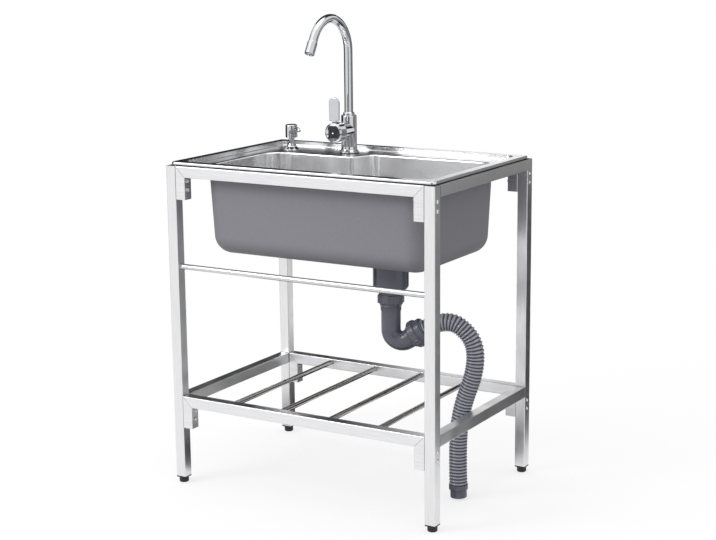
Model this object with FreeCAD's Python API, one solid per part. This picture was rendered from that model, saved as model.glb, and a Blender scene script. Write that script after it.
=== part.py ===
import FreeCAD, Part
import math
import os

V = FreeCAD.Vector
X_AXIS = V(1, 0, 0)
Y_AXIS = V(0, 1, 0)
Z_AXIS = V(0, 0, 1)
os.makedirs("parts", exist_ok=True)

# Free-standing stainless sink unit.  Millimetres, +Z up, -Y is the front,
# the origin is on the floor midway between the four legs.

# ------------------------------------------------------------------ frame
FRAME_WIDTH = 680.0        # across the outside of the legs
FRAME_DEPTH = 470.0
FRAME_TOP = 742.0
TUBE = 25.0                # square tube, outside
TUBE_WALL = 1.2
TUBE_EDGE_R = 1.6
WELD_GROOVE = 0.6          # width and depth of the seam at a mitre
LEG_BOTTOM = 16.0
RACK_TOP = 210.0
STUB_LENGTH = 75.0         # mitred drop at each end of a bolted rail
SCREW_DROPS = (33.0, 53.0)  # below the top of the rail it fixes
SCREW_R = 2.5
SCREW_HOLE_R = 2.55
SCREW_HEAD_R = 4.6
SCREW_HEAD_H = 2.6
SCREW_HEAD_RIM = 0.6       # straight edge of the domed head
NUT_FLATS = 8.0
NUT_H = 4.0
SCREW_TIP = 1.5            # thread standing out of the nut
SLAT_R = 6.0
SLAT_COUNT = 4
SLAT_BELOW_TOP = 8.0       # slat axis below the top of the rack rails
TOWEL_BAR_R = 6.25
TOWEL_BAR_Z = 512.0
BAR_SOCKET = 8.0           # length of bar inside each leg
RUNNING_GAP = 0.05         # radial, between pieces that turn or slide

# ------------------------------------------------------------------- feet
PLUG_FLANGE = 3.0
PLUG_DEPTH = 24.0
FOOT_R = 11.0
FOOT_STEM_R = 4.0
FOOT_STEM_TOP = 44.0
FOOT_EDGE_R = 3.0

# ------------------------------------------------------- pressed sink top
SHEET = 1.0                # sheet thickness
RIM_LIFT = 8.0             # rim above the top of the frame
RIM_INSET_X = 5.0          # rim edge in from the outside of the legs
RIM_INSET_Y = 8.0
RIM_CORNER_R = 12.0
RIM_BEND_R = 2.5
SEAL_H = 2.5               # foam strip between rim and frame
SEAL_SETBACK = 2.0
SEAL_WIDTH = 12.0
TRAY_DEPTH = 10.0          # deck below the rim
TRAY_GAP = 2.0             # tray wall in from the inside of the rails
TRAY_CORNER_R = 25.0
TRAY_BEND_R = 2.0
RETURN_WIDTH = 17.0        # flange turned in under the rim
BOWL_TO_FRONT = 6.5        # bowl edge in from the tray's front wall
BOWL_TO_LEFT = 41.5
BOWL_TO_RIGHT = 11.0
DECK_BEHIND = 62.0         # deck behind the right-hand part of the bowl
LEDGE_DEPTH = 120.0        # deck behind the left-hand part, where the tap stands
LEDGE_TO_RIGHT = 354.0     # bowl's right edge to the corner where the ledge steps back
STEP_WIDTH = 30.0          # the step slants back over this width
BOWL_CORNER_R = 55.0
LEDGE_CORNER_R = 12.0
STEP_CORNER_R = 24.0
BOWL_EDGE_R = 4.0
BOWL_DRAFT = 3.1           # degrees
BOWL_BOTTOM_R = 42.0
BOWL_DEPTH = 199.0         # deck to the outside of the bowl's floor

# ------------------------------------------------------------------ drain
DRAIN_TO_RIGHT = 171.0     # drain axis to the bowl's right edge
DRAIN_TO_FRONT = 151.5     # drain axis to the bowl's front edge
DRAIN_HOLE_R = 38.0
RECESS_R = 53.0
RECESS_DEPTH = 3.0
STRAINER_FLANGE_R = 50.0
STRAINER_CUP_R = 36.8
STRAINER_CUP_DEPTH = 44.0
STRAINER_WALL = 1.2
STRAINER_HOLE_R = 6.5
STRAINER_HOLE_CIRCLE = 21.0
STRAINER_HOLES = 6
CENTRE_SCREW_R = 3.0
CENTRE_SCREW_HEAD_R = 6.5
CENTRE_SCREW_HEAD_H = 3.0
GASKET_TOP_H = 1.0         # under the strainer's flange
GASKET_UNDER_H = 2.0       # between the sink and the drain body
BASKET_R = 33.0
BASKET_DEPTH = 34.0
BASKET_TAPER = 5.0
BASKET_RIM = 5.5
BASKET_WALL = 0.8
BASKET_SLOTS = 12
BASKET_SLOT_WIDTH = 2.6
BASKET_SLOT_LENGTH = 15.0
BASKET_HOLES = 6
BASKET_HOLE_R = 3.0
BASKET_HOLE_CIRCLE = 17.0
KNOB_R = 8.0
KNOB_H = 4.0
KNOB_POST_R = 2.5
DRAIN_BODY_R = 40.0
DRAIN_BODY_H = 63.0
DRAIN_BODY_WALL = 2.6
DRAIN_NECK_R = 24.4
NECK_LENGTH = 24.0
NECK_WALL = 3.4
SPIDER_WIDTH = 9.0         # crossbar that takes the centre screw
SPIDER_H = 6.0
SPIDER_BOSS_R = 7.0
TAIL_NUT_R = 28.5
TAIL_NUT_ON_NECK = 13.0    # nut above the lower end of the neck
TAIL_NUT_SHOULDER_H = 21.0  # below the top of the nut
TAIL_NUT_H = 27.5
TAIL_GASKET_H = 2.0
TAIL_LIP = 3.0             # collar on the pipe that the nut draws up
NUT_RIBS = 10
NUT_RIB_R = 2.2
PIPE_R = 22.0
PIPE_WALL = 2.4
PIPE_BEND_R = 25.0
PIPE_BEAD = 1.3            # rings moulded round the pipe under the nut
PIPE_STOP = 3.0            # collar that the hose nut seats on
PIPE_DROP = 116.0          # end of the neck to where the two pipe axes would cross
ARM_RISE = 35.2            # degrees above level
ARM_HEADING = 13.0         # degrees from +X towards the back
ARM_JOINT = 61.0           # along the arm, from the crossing to the nut
HOSE_NUT_R = 31.5
HOSE_NUT_GRIP = 20.0       # ribbed length of the nut
HOSE_COLLAR_LENGTH = 13.0  # plain collar of the nut, over the end of the hose
HOSE_COLLAR_WALL = 6.5
HOSE_NUT_GAP = 0.3         # round the end of the hose
PIPE_IN_NUT = 12.0         # pipe end inside the nut

# ------------------------------------------------------------------- hose
HOSE_R = 20.6              # over the ribs
HOSE_ROOT_R = 18.0
HOSE_BORE_R = 16.2
HOSE_SLEEVE = 21.0         # plain end inside the nut
RIB_PITCH = 7.4
# Route in the upright plane of the arm.  Distance from the drain axis, with the
# height above the crossing of the pipe axes, and then above the floor.
HOSE_FROM_CORNER = (
    (123.1, 86.8),
    (188.8, 44.1),
    (196.0, -27.6),
)
HOSE_FROM_FLOOR = (
    (161.5, 211.8),
    (152.7, 121.6),
    (155.5, 34.0),
)
END_CUFF_LENGTH = 30.0
END_CUFF_BAND = 11.0       # wider band next to the ribs
END_CUFF_BAND_R = 21.4
END_CUFF_R = 18.6

# -------------------------------------------------------------------- tap
TAP_TO_RIGHT = 394.0       # tap axis to the bowl's right edge
TAP_TO_REAR = 61.0         # tap axis to the tray's rear wall
TAP_HOLE_R = 17.5
TAP_FLANGE_R = 23.6
TAP_GASKET_H = 1.5
COLUMN_R = 18.4
COLUMN_H = 89.0            # top of the column above the deck
SHANK_R = 15.9
SHANK_LENGTH = 40.0        # below the deck
INLET_R = 4.2
INLET_SPACING = 13.0
INLET_DEPTH = 15.0
SPINDLE_R = 4.0
SPINDLE_LENGTH = 15.0
WASHER_R = 25.0
WASHER_H = 4.0
TAP_NUT_FLATS = 42.0
TAP_NUT_H = 9.0
BARREL_H = 54.0            # barrel axis above the deck
BARREL_ROOT_R = 17.4
BARREL_END_R = 20.5
BARREL_REACH = 46.0        # column axis to the end of the barrel
CARTRIDGE_R = 16.0
CARTRIDGE_DEPTH = 24.0
HUB_R = 23.0
HUB_GAP = 0.3
HUB_LENGTH = 27.0
HUB_DOME = 3.6
LEVER_WIDTH = 28.0
LEVER_THICK = 5.0
LEVER_RISE = 81.5          # top of the lever above the barrel axis
PIVOT_RISE = 16.5          # lever pivot above the barrel axis
PIVOT_TO_FRONT = 8.8       # pivot behind the face of the hub
PIVOT_PIN_R = 1.5
LEVER_ROOT_R = 5.0         # round root of the lever in the hub's slot
LEVER_SLOT_CLEAR = 0.4
SPOUT_R = 10.2
SPOUT_WALL = 1.5
SPOUT_SOCKET = 24.0
SPOUT_LIMB = 148.5         # column top to where the arch begins
SPOUT_ARCH_R = 79.0
SPOUT_ARCH_PAST = 60.0     # degrees beyond the top of the arch
SPOUT_NOSE = 41.0
AERATOR_WALL = 1.3
AERATOR_LENGTH = 30.0
AERATOR_LIP = 3.0
COLLAR_WALL = 3.4
COLLAR_H = 7.0

# --------------------------------------------------------- soap dispenser
SOAP_TO_LEFT = 75.0        # pump axis to the tray's left wall
SOAP_TO_REAR = 85.0
SOAP_HOLE_R = 13.0
SOAP_FLANGE_R = 21.0
SOAP_GASKET_H = 1.0
SOAP_NUT_R = 18.0
SOAP_NUT_H = 9.0
DIP_TUBE_R = 2.6
SOAP_BELL_H = 17.0         # above the deck
SOAP_ROD_R = 7.0
SOAP_HEAD_R = 14.3
SOAP_HEAD_H = 31.0
SOAP_STROKE = 12.0
SOAP_HEAD_CLEAR = 2.0      # head above the bell at the end of the stroke
SOAP_ROD_IN = 35.0         # rod below the top of the bell
SOAP_GUIDE = 5.0           # collar that the rod slides through
SOAP_PIN_R = 4.0
SOAP_PIN_LENGTH = 14.0
SOAP_PIN_CLEAR = 0.3
SOAP_BARREL_R = 9.5
SOAP_SHANK_R = 12.4
SOAP_SHANK_LENGTH = 48.0   # below the deck
SOAP_NOZZLE_R = 4.2
SOAP_NOZZLE_REACH = 42.0
SOAP_NOZZLE_HEADING = -31.0  # degrees from +X, towards the bowl
SOAP_NOZZLE_DROOP = 60.0
BOTTLE_R = 28.0
BOTTLE_H = 107.0           # below the pump's shank
BOTTLE_WALL = 1.5

# ------------------------------------------------------- worked-out values
HALF_X = FRAME_WIDTH / 2
HALF_Y = FRAME_DEPTH / 2
LEG_X = HALF_X - TUBE / 2
LEG_Y = HALF_Y - TUBE / 2
INNER_X = HALF_X - TUBE    # inner face of a leg
INNER_Y = HALF_Y - TUBE
STUB_X = INNER_X - TUBE / 2
RIM_TOP = FRAME_TOP + RIM_LIFT
DECK = RIM_TOP - TRAY_DEPTH
RIM_X = HALF_X - RIM_INSET_X
RIM_Y = HALF_Y - RIM_INSET_Y
SKIRT_BOTTOM = FRAME_TOP + SEAL_H
TRAY_X = INNER_X - TRAY_GAP
TRAY_Y = INNER_Y - TRAY_GAP
BOWL_FRONT = BOWL_TO_FRONT - TRAY_Y
BOWL_BACK = TRAY_Y - DECK_BEHIND
BOWL_LEFT = BOWL_TO_LEFT - TRAY_X
BOWL_RIGHT = TRAY_X - BOWL_TO_RIGHT
LEDGE_FRONT = TRAY_Y - LEDGE_DEPTH
LEDGE_CORNER_X = BOWL_RIGHT - LEDGE_TO_RIGHT
STEP_BACK_X = LEDGE_CORNER_X + STEP_WIDTH
BOWL_BOTTOM = DECK - BOWL_DEPTH
BOWL_FLOOR = BOWL_BOTTOM + SHEET
RECESS_FLOOR = BOWL_FLOOR - RECESS_DEPTH
RECESS_BOTTOM = RECESS_FLOOR - SHEET
DRAIN_X = BOWL_RIGHT - DRAIN_TO_RIGHT
DRAIN_Y = BOWL_FRONT + DRAIN_TO_FRONT
STRAINER_SEAT = RECESS_FLOOR + GASKET_TOP_H
STRAINER_BOTTOM = STRAINER_SEAT - STRAINER_CUP_DEPTH
BODY_TOP = RECESS_BOTTOM - GASKET_UNDER_H
DRAIN_BODY_BOTTOM = BODY_TOP - DRAIN_BODY_H
NECK_BOTTOM = DRAIN_BODY_BOTTOM - NECK_LENGTH
TAIL_NUT_TOP = NECK_BOTTOM + TAIL_NUT_ON_NECK
TAIL_NUT_SHOULDER = TAIL_NUT_TOP - TAIL_NUT_SHOULDER_H
TAIL_NUT_BOTTOM = TAIL_NUT_TOP - TAIL_NUT_H
PIPE_CORNER_Z = NECK_BOTTOM - PIPE_DROP
TAP_X = BOWL_RIGHT - TAP_TO_RIGHT
TAP_Y = TRAY_Y - TAP_TO_REAR
COLUMN_TOP = DECK + COLUMN_H
SHANK_BOTTOM = DECK - SHANK_LENGTH
BARREL_Z = DECK + BARREL_H
HUB_BACK = TAP_Y - BARREL_REACH - HUB_GAP
PIVOT_Y = HUB_BACK - HUB_LENGTH + PIVOT_TO_FRONT
PIVOT_Z = BARREL_Z + PIVOT_RISE
LEVER_TOP = BARREL_Z + LEVER_RISE
SPOUT_LIMB_TOP = COLUMN_TOP + SPOUT_LIMB
AERATOR_R = SPOUT_R + AERATOR_WALL
COLLAR_R = SPOUT_R + COLLAR_WALL
SOAP_X = SOAP_TO_LEFT - TRAY_X
SOAP_Y = TRAY_Y - SOAP_TO_REAR
SOAP_FOOT = DECK + SOAP_GASKET_H
SOAP_BELL_TOP = DECK + SOAP_BELL_H
SOAP_HEAD_BOTTOM = SOAP_BELL_TOP + SOAP_STROKE + SOAP_HEAD_CLEAR
SOAP_HEAD_TOP = SOAP_HEAD_BOTTOM + SOAP_HEAD_H
SOAP_ROD_BOTTOM = SOAP_BELL_TOP - SOAP_ROD_IN
SOAP_SHANK_BOTTOM = DECK - SOAP_SHANK_LENGTH
BOTTLE_BOTTOM = SOAP_SHANK_BOTTOM - BOTTLE_H
ARM_DIRECTION = V(
    math.cos(math.radians(ARM_RISE)) * math.cos(math.radians(ARM_HEADING)),
    math.cos(math.radians(ARM_RISE)) * math.sin(math.radians(ARM_HEADING)),
    math.sin(math.radians(ARM_RISE)),
)
ARM_CORNER = V(DRAIN_X, DRAIN_Y, PIPE_CORNER_Z)


# ---------------------------------------------------------------- helpers
def plan(z):
    """Maps outline coordinates onto a level plane."""
    return lambda a, b: V(a, b, z)


def section(a, b):
    """Maps (radius, height) onto the X-Z plane for turning."""
    return V(a, 0, b)


def outline(corners, to_space):
    """Closed wire through (a, b, radius) corners; radius 0 stays sharp."""
    count = len(corners)
    arcs = []
    for i, corner in enumerate(corners):
        here = V(corner[0], corner[1], 0)
        before = V(corners[i - 1][0], corners[i - 1][1], 0)
        after = V(corners[(i + 1) % count][0], corners[(i + 1) % count][1], 0)
        arrive = (here - before).normalize()
        leave = (after - here).normalize()
        radius = corner[2]
        if radius == 0:
            arcs.append((here, None, here))
            continue
        half = arrive.getAngle(leave) / 2
        cut = radius * math.tan(half)
        inward = (leave - arrive).normalize()
        middle = here + inward * (radius / math.cos(half) - radius)
        arcs.append((here - arrive * cut, middle, here + leave * cut))
    edges = []
    for i, (start, middle, end) in enumerate(arcs):
        if middle is not None:
            points = [to_space(p.x, p.y) for p in (start, middle, end)]
            edges.append(Part.Arc(*points).toShape())
        following = arcs[(i + 1) % count][0]
        if (following - end).Length > 1e-6:
            line = Part.LineSegment(to_space(end.x, end.y), to_space(following.x, following.y))
            edges.append(line.toShape())
    return Part.Wire(edges)


def rectangle(half_x, half_y, radius):
    """Corners of a rectangle about the origin."""
    return [
        (-half_x, -half_y, radius),
        (half_x, -half_y, radius),
        (half_x, half_y, radius),
        (-half_x, half_y, radius),
    ]


def prism(corners, bottom, top):
    """Upright solid on a level outline."""
    return Part.Face(outline(corners, plan(bottom))).extrude(V(0, 0, top - bottom))


def ring_prism(outer, inner, bottom, top):
    return prism(outer, bottom, top).cut(prism(inner, bottom - 1, top + 1))


def turned(corners, x, y, base=0.0):
    """Solid of revolution about an upright axis, from (radius, height, round) corners."""
    face = Part.Face(outline(corners, section))
    solid = face.revolve(V(0, 0, 0), Z_AXIS, 360)
    solid.translate(V(x, y, base))
    return solid


def bar(radius, start, end):
    """Round bar between two points."""
    return Part.makeCylinder(radius, (end - start).Length, start, end - start)


def aimed(solid, base, direction):
    """Copy of a solid built along +Z, turned to point along direction."""
    copy = solid.copy()
    copy.Placement = FreeCAD.Placement(base, FreeCAD.Rotation(Z_AXIS, direction))
    return copy


def edges_at(solid, height, keep):
    """Edges lying at one height that pass the keep test on their middle point."""
    found = []
    for edge in solid.Edges:
        box = edge.BoundBox
        level = abs(box.ZMin - height) < 1e-4 and abs(box.ZMax - height) < 1e-4
        if level and keep(edge.valueAt((edge.FirstParameter + edge.LastParameter) / 2)):
            found.append(edge)
    return found


def save(name, shape):
    shape.exportStep("parts/" + name + ".step")


# ------------------------------------------------------------------ frame
def square_tube(start, direction, length):
    outer = rectangle(TUBE / 2, TUBE / 2, TUBE_EDGE_R)
    inner = rectangle(TUBE / 2 - TUBE_WALL, TUBE / 2 - TUBE_WALL, 0)
    solid = prism(outer, 0, length).cut(prism(inner, -1, length + 1))
    return aimed(solid, start, direction)


def screw_heights():
    return [top - drop for top in (FRAME_TOP, RACK_TOP) for drop in SCREW_DROPS]


def drilled_in_x(solid, x, y, heights):
    """Holes along X right through one tube."""
    for z in heights:
        half = TUBE
        solid = solid.cut(bar(SCREW_HOLE_R, V(x - half, y, z), V(x + half, y, z)))
    return solid


def leg(side, end):
    """side is -1 left or 1 right; end is -1 front or 1 rear."""
    x = side * LEG_X
    y = end * LEG_Y
    tube = square_tube(V(x, y, LEG_BOTTOM), Z_AXIS, FRAME_TOP - LEG_BOTTOM)
    tube = drilled_in_x(tube, x, y, screw_heights())
    if end < 0:
        inner = V(side * (INNER_X - 1), y, TOWEL_BAR_Z)
        tube = tube.cut(bar(TOWEL_BAR_R + RUNNING_GAP, inner, V(x, y, TOWEL_BAR_Z)))
    return tube


def corner_core(side, y, top, half):
    """Square bars just inside the skin of a corner, which the seam groove stops at."""
    centre = top - TUBE / 2
    along = Part.makeBox(2 * TUBE, 2 * half, 2 * half, V(-TUBE - half, -half, -half))
    down = Part.makeBox(2 * half, 2 * half, 2 * TUBE, V(-half, -half, -TUBE - half))
    if side < 0:
        along = along.mirror(V(0, 0, 0), X_AXIS)
    core = along.translate(V(side * STUB_X, y, centre)).common(
        mitre_block(side, top, y, 4 * TUBE, -4 * TUBE)
    )
    return core.fuse(
        down.translate(V(side * STUB_X, y, centre)).common(mitre_block(side, top, y, 4 * TUBE, 0))
    )


def mitre_block(side, top, y, thickness, offset):
    """Slab parallel to the 45 degree joint plane at a rail's end, on its outer side."""
    reach = 2 * (STUB_LENGTH + TUBE)
    slab = Part.makeBox(thickness, reach, reach, V(offset, -reach / 2, -reach / 2))
    slab.rotate(V(0, 0, 0), Y_AXIS, 45)
    slab.translate(V(INNER_X, 0, top))
    if side < 0:
        slab = slab.mirror(V(0, 0, 0), X_AXIS)
    slab.translate(V(0, y, 0))
    return slab


def bolted_rail(end, top):
    """Rail along X with a mitred, welded stub at each end, lying against the legs."""
    y = end * LEG_Y
    centre = top - TUBE / 2
    core_half = TUBE / 2 - WELD_GROOVE
    rail = square_tube(V(-INNER_X, y, centre), X_AXIS, 2 * INNER_X)
    for side in (-1, 1):
        beyond = mitre_block(side, top, y, 2 * STUB_LENGTH, 0)
        stub = square_tube(V(side * STUB_X, y, top - STUB_LENGTH), Z_AXIS, STUB_LENGTH)
        rail = rail.cut(beyond).fuse(stub.common(beyond))
        seam = mitre_block(side, top, y, WELD_GROOVE, -WELD_GROOVE / 2)
        seam = seam.cut(corner_core(side, y, top, core_half))
        rail = rail.cut(seam)
        rail = drilled_in_x(rail, side * STUB_X, y, [top - drop for drop in SCREW_DROPS])
    return rail


def side_rail(side, top):
    start = V(side * LEG_X, -INNER_Y, top - TUBE / 2)
    return square_tube(start, Y_AXIS, 2 * INNER_Y)


def slat(index):
    x = -INNER_X + (index + 1) * 2 * INNER_X / (SLAT_COUNT + 1)
    z = RACK_TOP - SLAT_BELOW_TOP
    return bar(SLAT_R, V(x, -INNER_Y, z), V(x, INNER_Y, z))


def towel_bar():
    end = INNER_X + BAR_SOCKET
    return bar(TOWEL_BAR_R, V(-end, -LEG_Y, TOWEL_BAR_Z), V(end, -LEG_Y, TOWEL_BAR_Z))


def rail_screw():
    """Button-head screw; head on the -Z side, shank along +Z."""
    grip = 2 * TUBE + NUT_H + SCREW_TIP
    profile = [
        (0, -SCREW_HEAD_H, 0),
        (SCREW_HEAD_R / 2, -SCREW_HEAD_H, 0),
        (SCREW_HEAD_R, -SCREW_HEAD_RIM, 0),
        (SCREW_HEAD_R, 0, 0),
        (SCREW_R, 0, 0),
        (SCREW_R, grip, 0),
        (0, grip, 0),
    ]
    return turned(profile, 0, 0)


def hexagon(flats, bottom, top):
    """Upright hexagonal solid across its flats."""
    radius = flats / 2 / math.cos(math.pi / 6)
    corners = []
    for k in range(6):
        angle = math.pi / 6 + k * math.pi / 3
        corners.append((radius * math.cos(angle), radius * math.sin(angle), 0))
    return prism(corners, bottom, top)


def rail_nut():
    body = hexagon(NUT_FLATS, 0, NUT_H)
    return body.cut(Part.makeCylinder(SCREW_R, NUT_H + 2, V(0, 0, -1)))


def rail_fixings():
    """One screw and one nut at every hole pair, in from the outer leg faces."""
    screws = []
    nuts = []
    for side in (-1, 1):
        inward = V(-side, 0, 0)
        for end in (-1, 1):
            for z in screw_heights():
                head_seat = V(side * HALF_X, end * LEG_Y, z)
                nut_seat = V(side * (INNER_X - TUBE), end * LEG_Y, z)
                screws.append(aimed(rail_screw(), head_seat, inward))
                nuts.append(aimed(rail_nut(), nut_seat, inward))
    return Part.makeCompound(screws), Part.makeCompound(nuts)


# ------------------------------------------------------------------- feet
def leg_plug(side, end):
    half_in = TUBE / 2 - TUBE_WALL
    flange_bottom = LEG_BOTTOM - PLUG_FLANGE
    flange = prism(rectangle(TUBE / 2, TUBE / 2, TUBE_EDGE_R), flange_bottom, LEG_BOTTOM)
    body = prism(rectangle(half_in, half_in, 0), LEG_BOTTOM, LEG_BOTTOM + PLUG_DEPTH)
    hole = Part.makeCylinder(FOOT_STEM_R + RUNNING_GAP, PLUG_DEPTH * 2, V(0, 0, flange_bottom - 1))
    plug = flange.fuse(body).cut(hole)
    plug.translate(V(side * LEG_X, end * LEG_Y, 0))
    return plug


def foot(side, end):
    """Round levelling foot on a threaded stem."""
    under_plug = LEG_BOTTOM - PLUG_FLANGE
    profile = [
        (0, 0, 0),
        (FOOT_R, 0, FOOT_EDGE_R),
        (FOOT_R, under_plug, 0),
        (FOOT_STEM_R, under_plug, 0),
        (FOOT_STEM_R, FOOT_STEM_TOP, 0),
        (0, FOOT_STEM_TOP, 0),
    ]
    return turned(profile, side * LEG_X, end * LEG_Y)


# ------------------------------------------------------- pressed sink top
def bowl_corners(inset):
    """Plan of the bowl moved in from its top edge by inset."""
    plain = [
        (BOWL_LEFT, BOWL_FRONT, BOWL_CORNER_R),
        (BOWL_RIGHT, BOWL_FRONT, BOWL_CORNER_R),
        (BOWL_RIGHT, BOWL_BACK, BOWL_CORNER_R),
        (STEP_BACK_X, BOWL_BACK, STEP_CORNER_R),
        (LEDGE_CORNER_X, LEDGE_FRONT, LEDGE_CORNER_R),
        (BOWL_LEFT, LEDGE_FRONT, BOWL_CORNER_R),
    ]
    moved = []
    for i, (x, y, radius) in enumerate(plain):
        before = plain[i - 1]
        after = plain[(i + 1) % len(plain)]
        arrive = V(x - before[0], y - before[1], 0).normalize()
        leave = V(after[0] - x, after[1] - y, 0).normalize()
        normals = V(-arrive.y - leave.y, arrive.x + leave.x, 0)
        scale = inset / (1 + arrive.dot(leave))
        hollow = arrive.cross(leave).z < 0
        new_radius = radius + inset if hollow else radius - inset
        moved.append((x + normals.x * scale, y + normals.y * scale, new_radius))
    return moved


def bowl_block(grow, floor, top, bottom_radius):
    """Tapered bowl shape, grown outwards by grow, with a rounded floor edge."""
    slope = math.tan(math.radians(BOWL_DRAFT))
    upper = outline(bowl_corners(-grow - (top - DECK) * slope), plan(top))
    lower = outline(bowl_corners(-grow + (DECK - floor) * slope), plan(floor))
    block = Part.makeLoft([upper, lower], True, True)
    return block.makeFillet(bottom_radius, edges_at(block, floor, lambda p: True))


def inside_bowl(point):
    """True near the bowl's edge, false out at the tray wall."""
    clear_x = TRAY_X - TRAY_BEND_R - 1
    clear_y = TRAY_Y - TRAY_BEND_R - 1
    return abs(point.x) < clear_x and abs(point.y) < clear_y


def sink_top():
    rim = prism(rectangle(RIM_X, RIM_Y, RIM_CORNER_R), DECK - SHEET, RIM_TOP)
    rim = rim.makeFillet(RIM_BEND_R, edges_at(rim, RIM_TOP, lambda p: True))

    bend_in = RIM_BEND_R - SHEET
    under_outer = rectangle(RIM_X - SHEET, RIM_Y - SHEET, RIM_CORNER_R - SHEET)
    under_top = RIM_TOP - SHEET
    under = prism(under_outer, DECK - 2 * SHEET, under_top)
    under = under.makeFillet(bend_in, edges_at(under, under_top, lambda p: True))
    tray_skin = rectangle(TRAY_X + SHEET, TRAY_Y + SHEET, TRAY_CORNER_R + SHEET)
    under = under.cut(prism(tray_skin, DECK - 3 * SHEET, RIM_TOP))

    pocket = prism(rectangle(TRAY_X, TRAY_Y, TRAY_CORNER_R), DECK, RIM_TOP + 1)
    pocket = pocket.makeFillet(TRAY_BEND_R, edges_at(pocket, DECK, lambda p: True))

    skirt_trim = ring_prism(
        rectangle(RIM_X + 1, RIM_Y + 1, RIM_CORNER_R),
        rectangle(RIM_X - 2 * SHEET, RIM_Y - 2 * SHEET, RIM_CORNER_R - 2 * SHEET),
        DECK - 2 * SHEET,
        SKIRT_BOTTOM,
    )
    return_flange = ring_prism(
        rectangle(RIM_X - SHEET / 2, RIM_Y - SHEET / 2, RIM_CORNER_R - SHEET / 2),
        rectangle(RIM_X - RETURN_WIDTH, RIM_Y - RETURN_WIDTH, RIM_CORNER_R),
        SKIRT_BOTTOM,
        SKIRT_BOTTOM + SHEET,
    )
    sheet = rim.cut(under).cut(pocket).cut(skirt_trim).fuse(return_flange)

    recess = Part.makeCylinder(RECESS_R + SHEET, RECESS_DEPTH, V(DRAIN_X, DRAIN_Y, RECESS_BOTTOM))
    sheet = sheet.fuse(bowl_block(SHEET, BOWL_BOTTOM, DECK - SHEET / 2, BOWL_BOTTOM_R))
    under_edge = edges_at(sheet, DECK - SHEET, inside_bowl)
    sheet = sheet.makeFillet(BOWL_EDGE_R - SHEET, under_edge)
    sheet = sheet.fuse(recess)

    sheet = sheet.cut(bowl_block(0, BOWL_FLOOR, DECK + 1, BOWL_BOTTOM_R - SHEET))
    sheet = sheet.makeFillet(BOWL_EDGE_R, edges_at(sheet, DECK, inside_bowl))
    drain_axis = V(DRAIN_X, DRAIN_Y, RECESS_FLOOR)
    sheet = sheet.cut(Part.makeCylinder(RECESS_R, RECESS_DEPTH + 1, drain_axis))
    for x, y, z, radius in (
        (DRAIN_X, DRAIN_Y, RECESS_BOTTOM, DRAIN_HOLE_R),
        (TAP_X, TAP_Y, DECK - SHEET, TAP_HOLE_R),
        (SOAP_X, SOAP_Y, DECK - SHEET, SOAP_HOLE_R),
    ):
        sheet = sheet.cut(Part.makeCylinder(radius, 3 * SHEET, V(x, y, z - SHEET)))
    return sheet.removeSplitter()


def rim_seal():
    outer = rectangle(RIM_X - SEAL_SETBACK, RIM_Y - SEAL_SETBACK, RIM_CORNER_R - SEAL_SETBACK)
    inset = SEAL_SETBACK + SEAL_WIDTH
    inner = rectangle(RIM_X - inset, RIM_Y - inset, RIM_CORNER_R)
    return ring_prism(outer, inner, FRAME_TOP, SKIRT_BOTTOM)


# ------------------------------------------------------------------ drain
def flat_ring(outer, inner, bottom, top, x=DRAIN_X, y=DRAIN_Y):
    profile = [(inner, bottom, 0), (outer, bottom, 0), (outer, top, 0), (inner, top, 0)]
    return turned(profile, x, y)


def ring_of_holes(solid, count, circle, radius, bottom, turn=0.0):
    """Upright holes evenly spaced round the drain axis, through a thin floor."""
    for k in range(count):
        angle = math.radians(turn + 360.0 * k / count)
        x = DRAIN_X + circle * math.cos(angle)
        y = DRAIN_Y + circle * math.sin(angle)
        solid = solid.cut(Part.makeCylinder(radius, 4, V(x, y, bottom - 1)))
    return solid


def sink_strainer():
    """Flanged cup that lines the drain hole, with a grid floor."""
    wall = STRAINER_WALL
    profile = [
        (0, STRAINER_BOTTOM, 0),
        (STRAINER_CUP_R, STRAINER_BOTTOM, 3),
        (STRAINER_CUP_R, STRAINER_SEAT, 0),
        (STRAINER_FLANGE_R, STRAINER_SEAT, 0),
        (STRAINER_FLANGE_R, STRAINER_SEAT + wall, 0),
        (STRAINER_CUP_R - wall, STRAINER_SEAT + wall, 2),
        (STRAINER_CUP_R - wall, STRAINER_BOTTOM + wall, 2),
        (0, STRAINER_BOTTOM + wall, 0),
    ]
    cup = turned(profile, DRAIN_X, DRAIN_Y)
    cup = ring_of_holes(cup, STRAINER_HOLES, STRAINER_HOLE_CIRCLE, STRAINER_HOLE_R, STRAINER_BOTTOM)
    return ring_of_holes(cup, 1, 0, CENTRE_SCREW_R + RUNNING_GAP, STRAINER_BOTTOM)


def strainer_screw():
    """Long screw that pulls the strainer cup down to the drain body."""
    head = STRAINER_BOTTOM + STRAINER_WALL
    head_top = head + CENTRE_SCREW_HEAD_H
    profile = [
        (0, DRAIN_BODY_BOTTOM + DRAIN_BODY_WALL, 0),
        (CENTRE_SCREW_R, DRAIN_BODY_BOTTOM + DRAIN_BODY_WALL, 0),
        (CENTRE_SCREW_R, head, 0),
        (CENTRE_SCREW_HEAD_R, head, 0),
        (CENTRE_SCREW_HEAD_R, head_top, 1.2),
        (0, head_top, 0),
    ]
    reach = 2 * CENTRE_SCREW_HEAD_R + 1
    slot = Part.makeBox(reach, 1.4, 2, V(DRAIN_X - reach / 2, DRAIN_Y - 0.7, head_top - 1.2))
    return turned(profile, DRAIN_X, DRAIN_Y).cut(slot)


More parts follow.
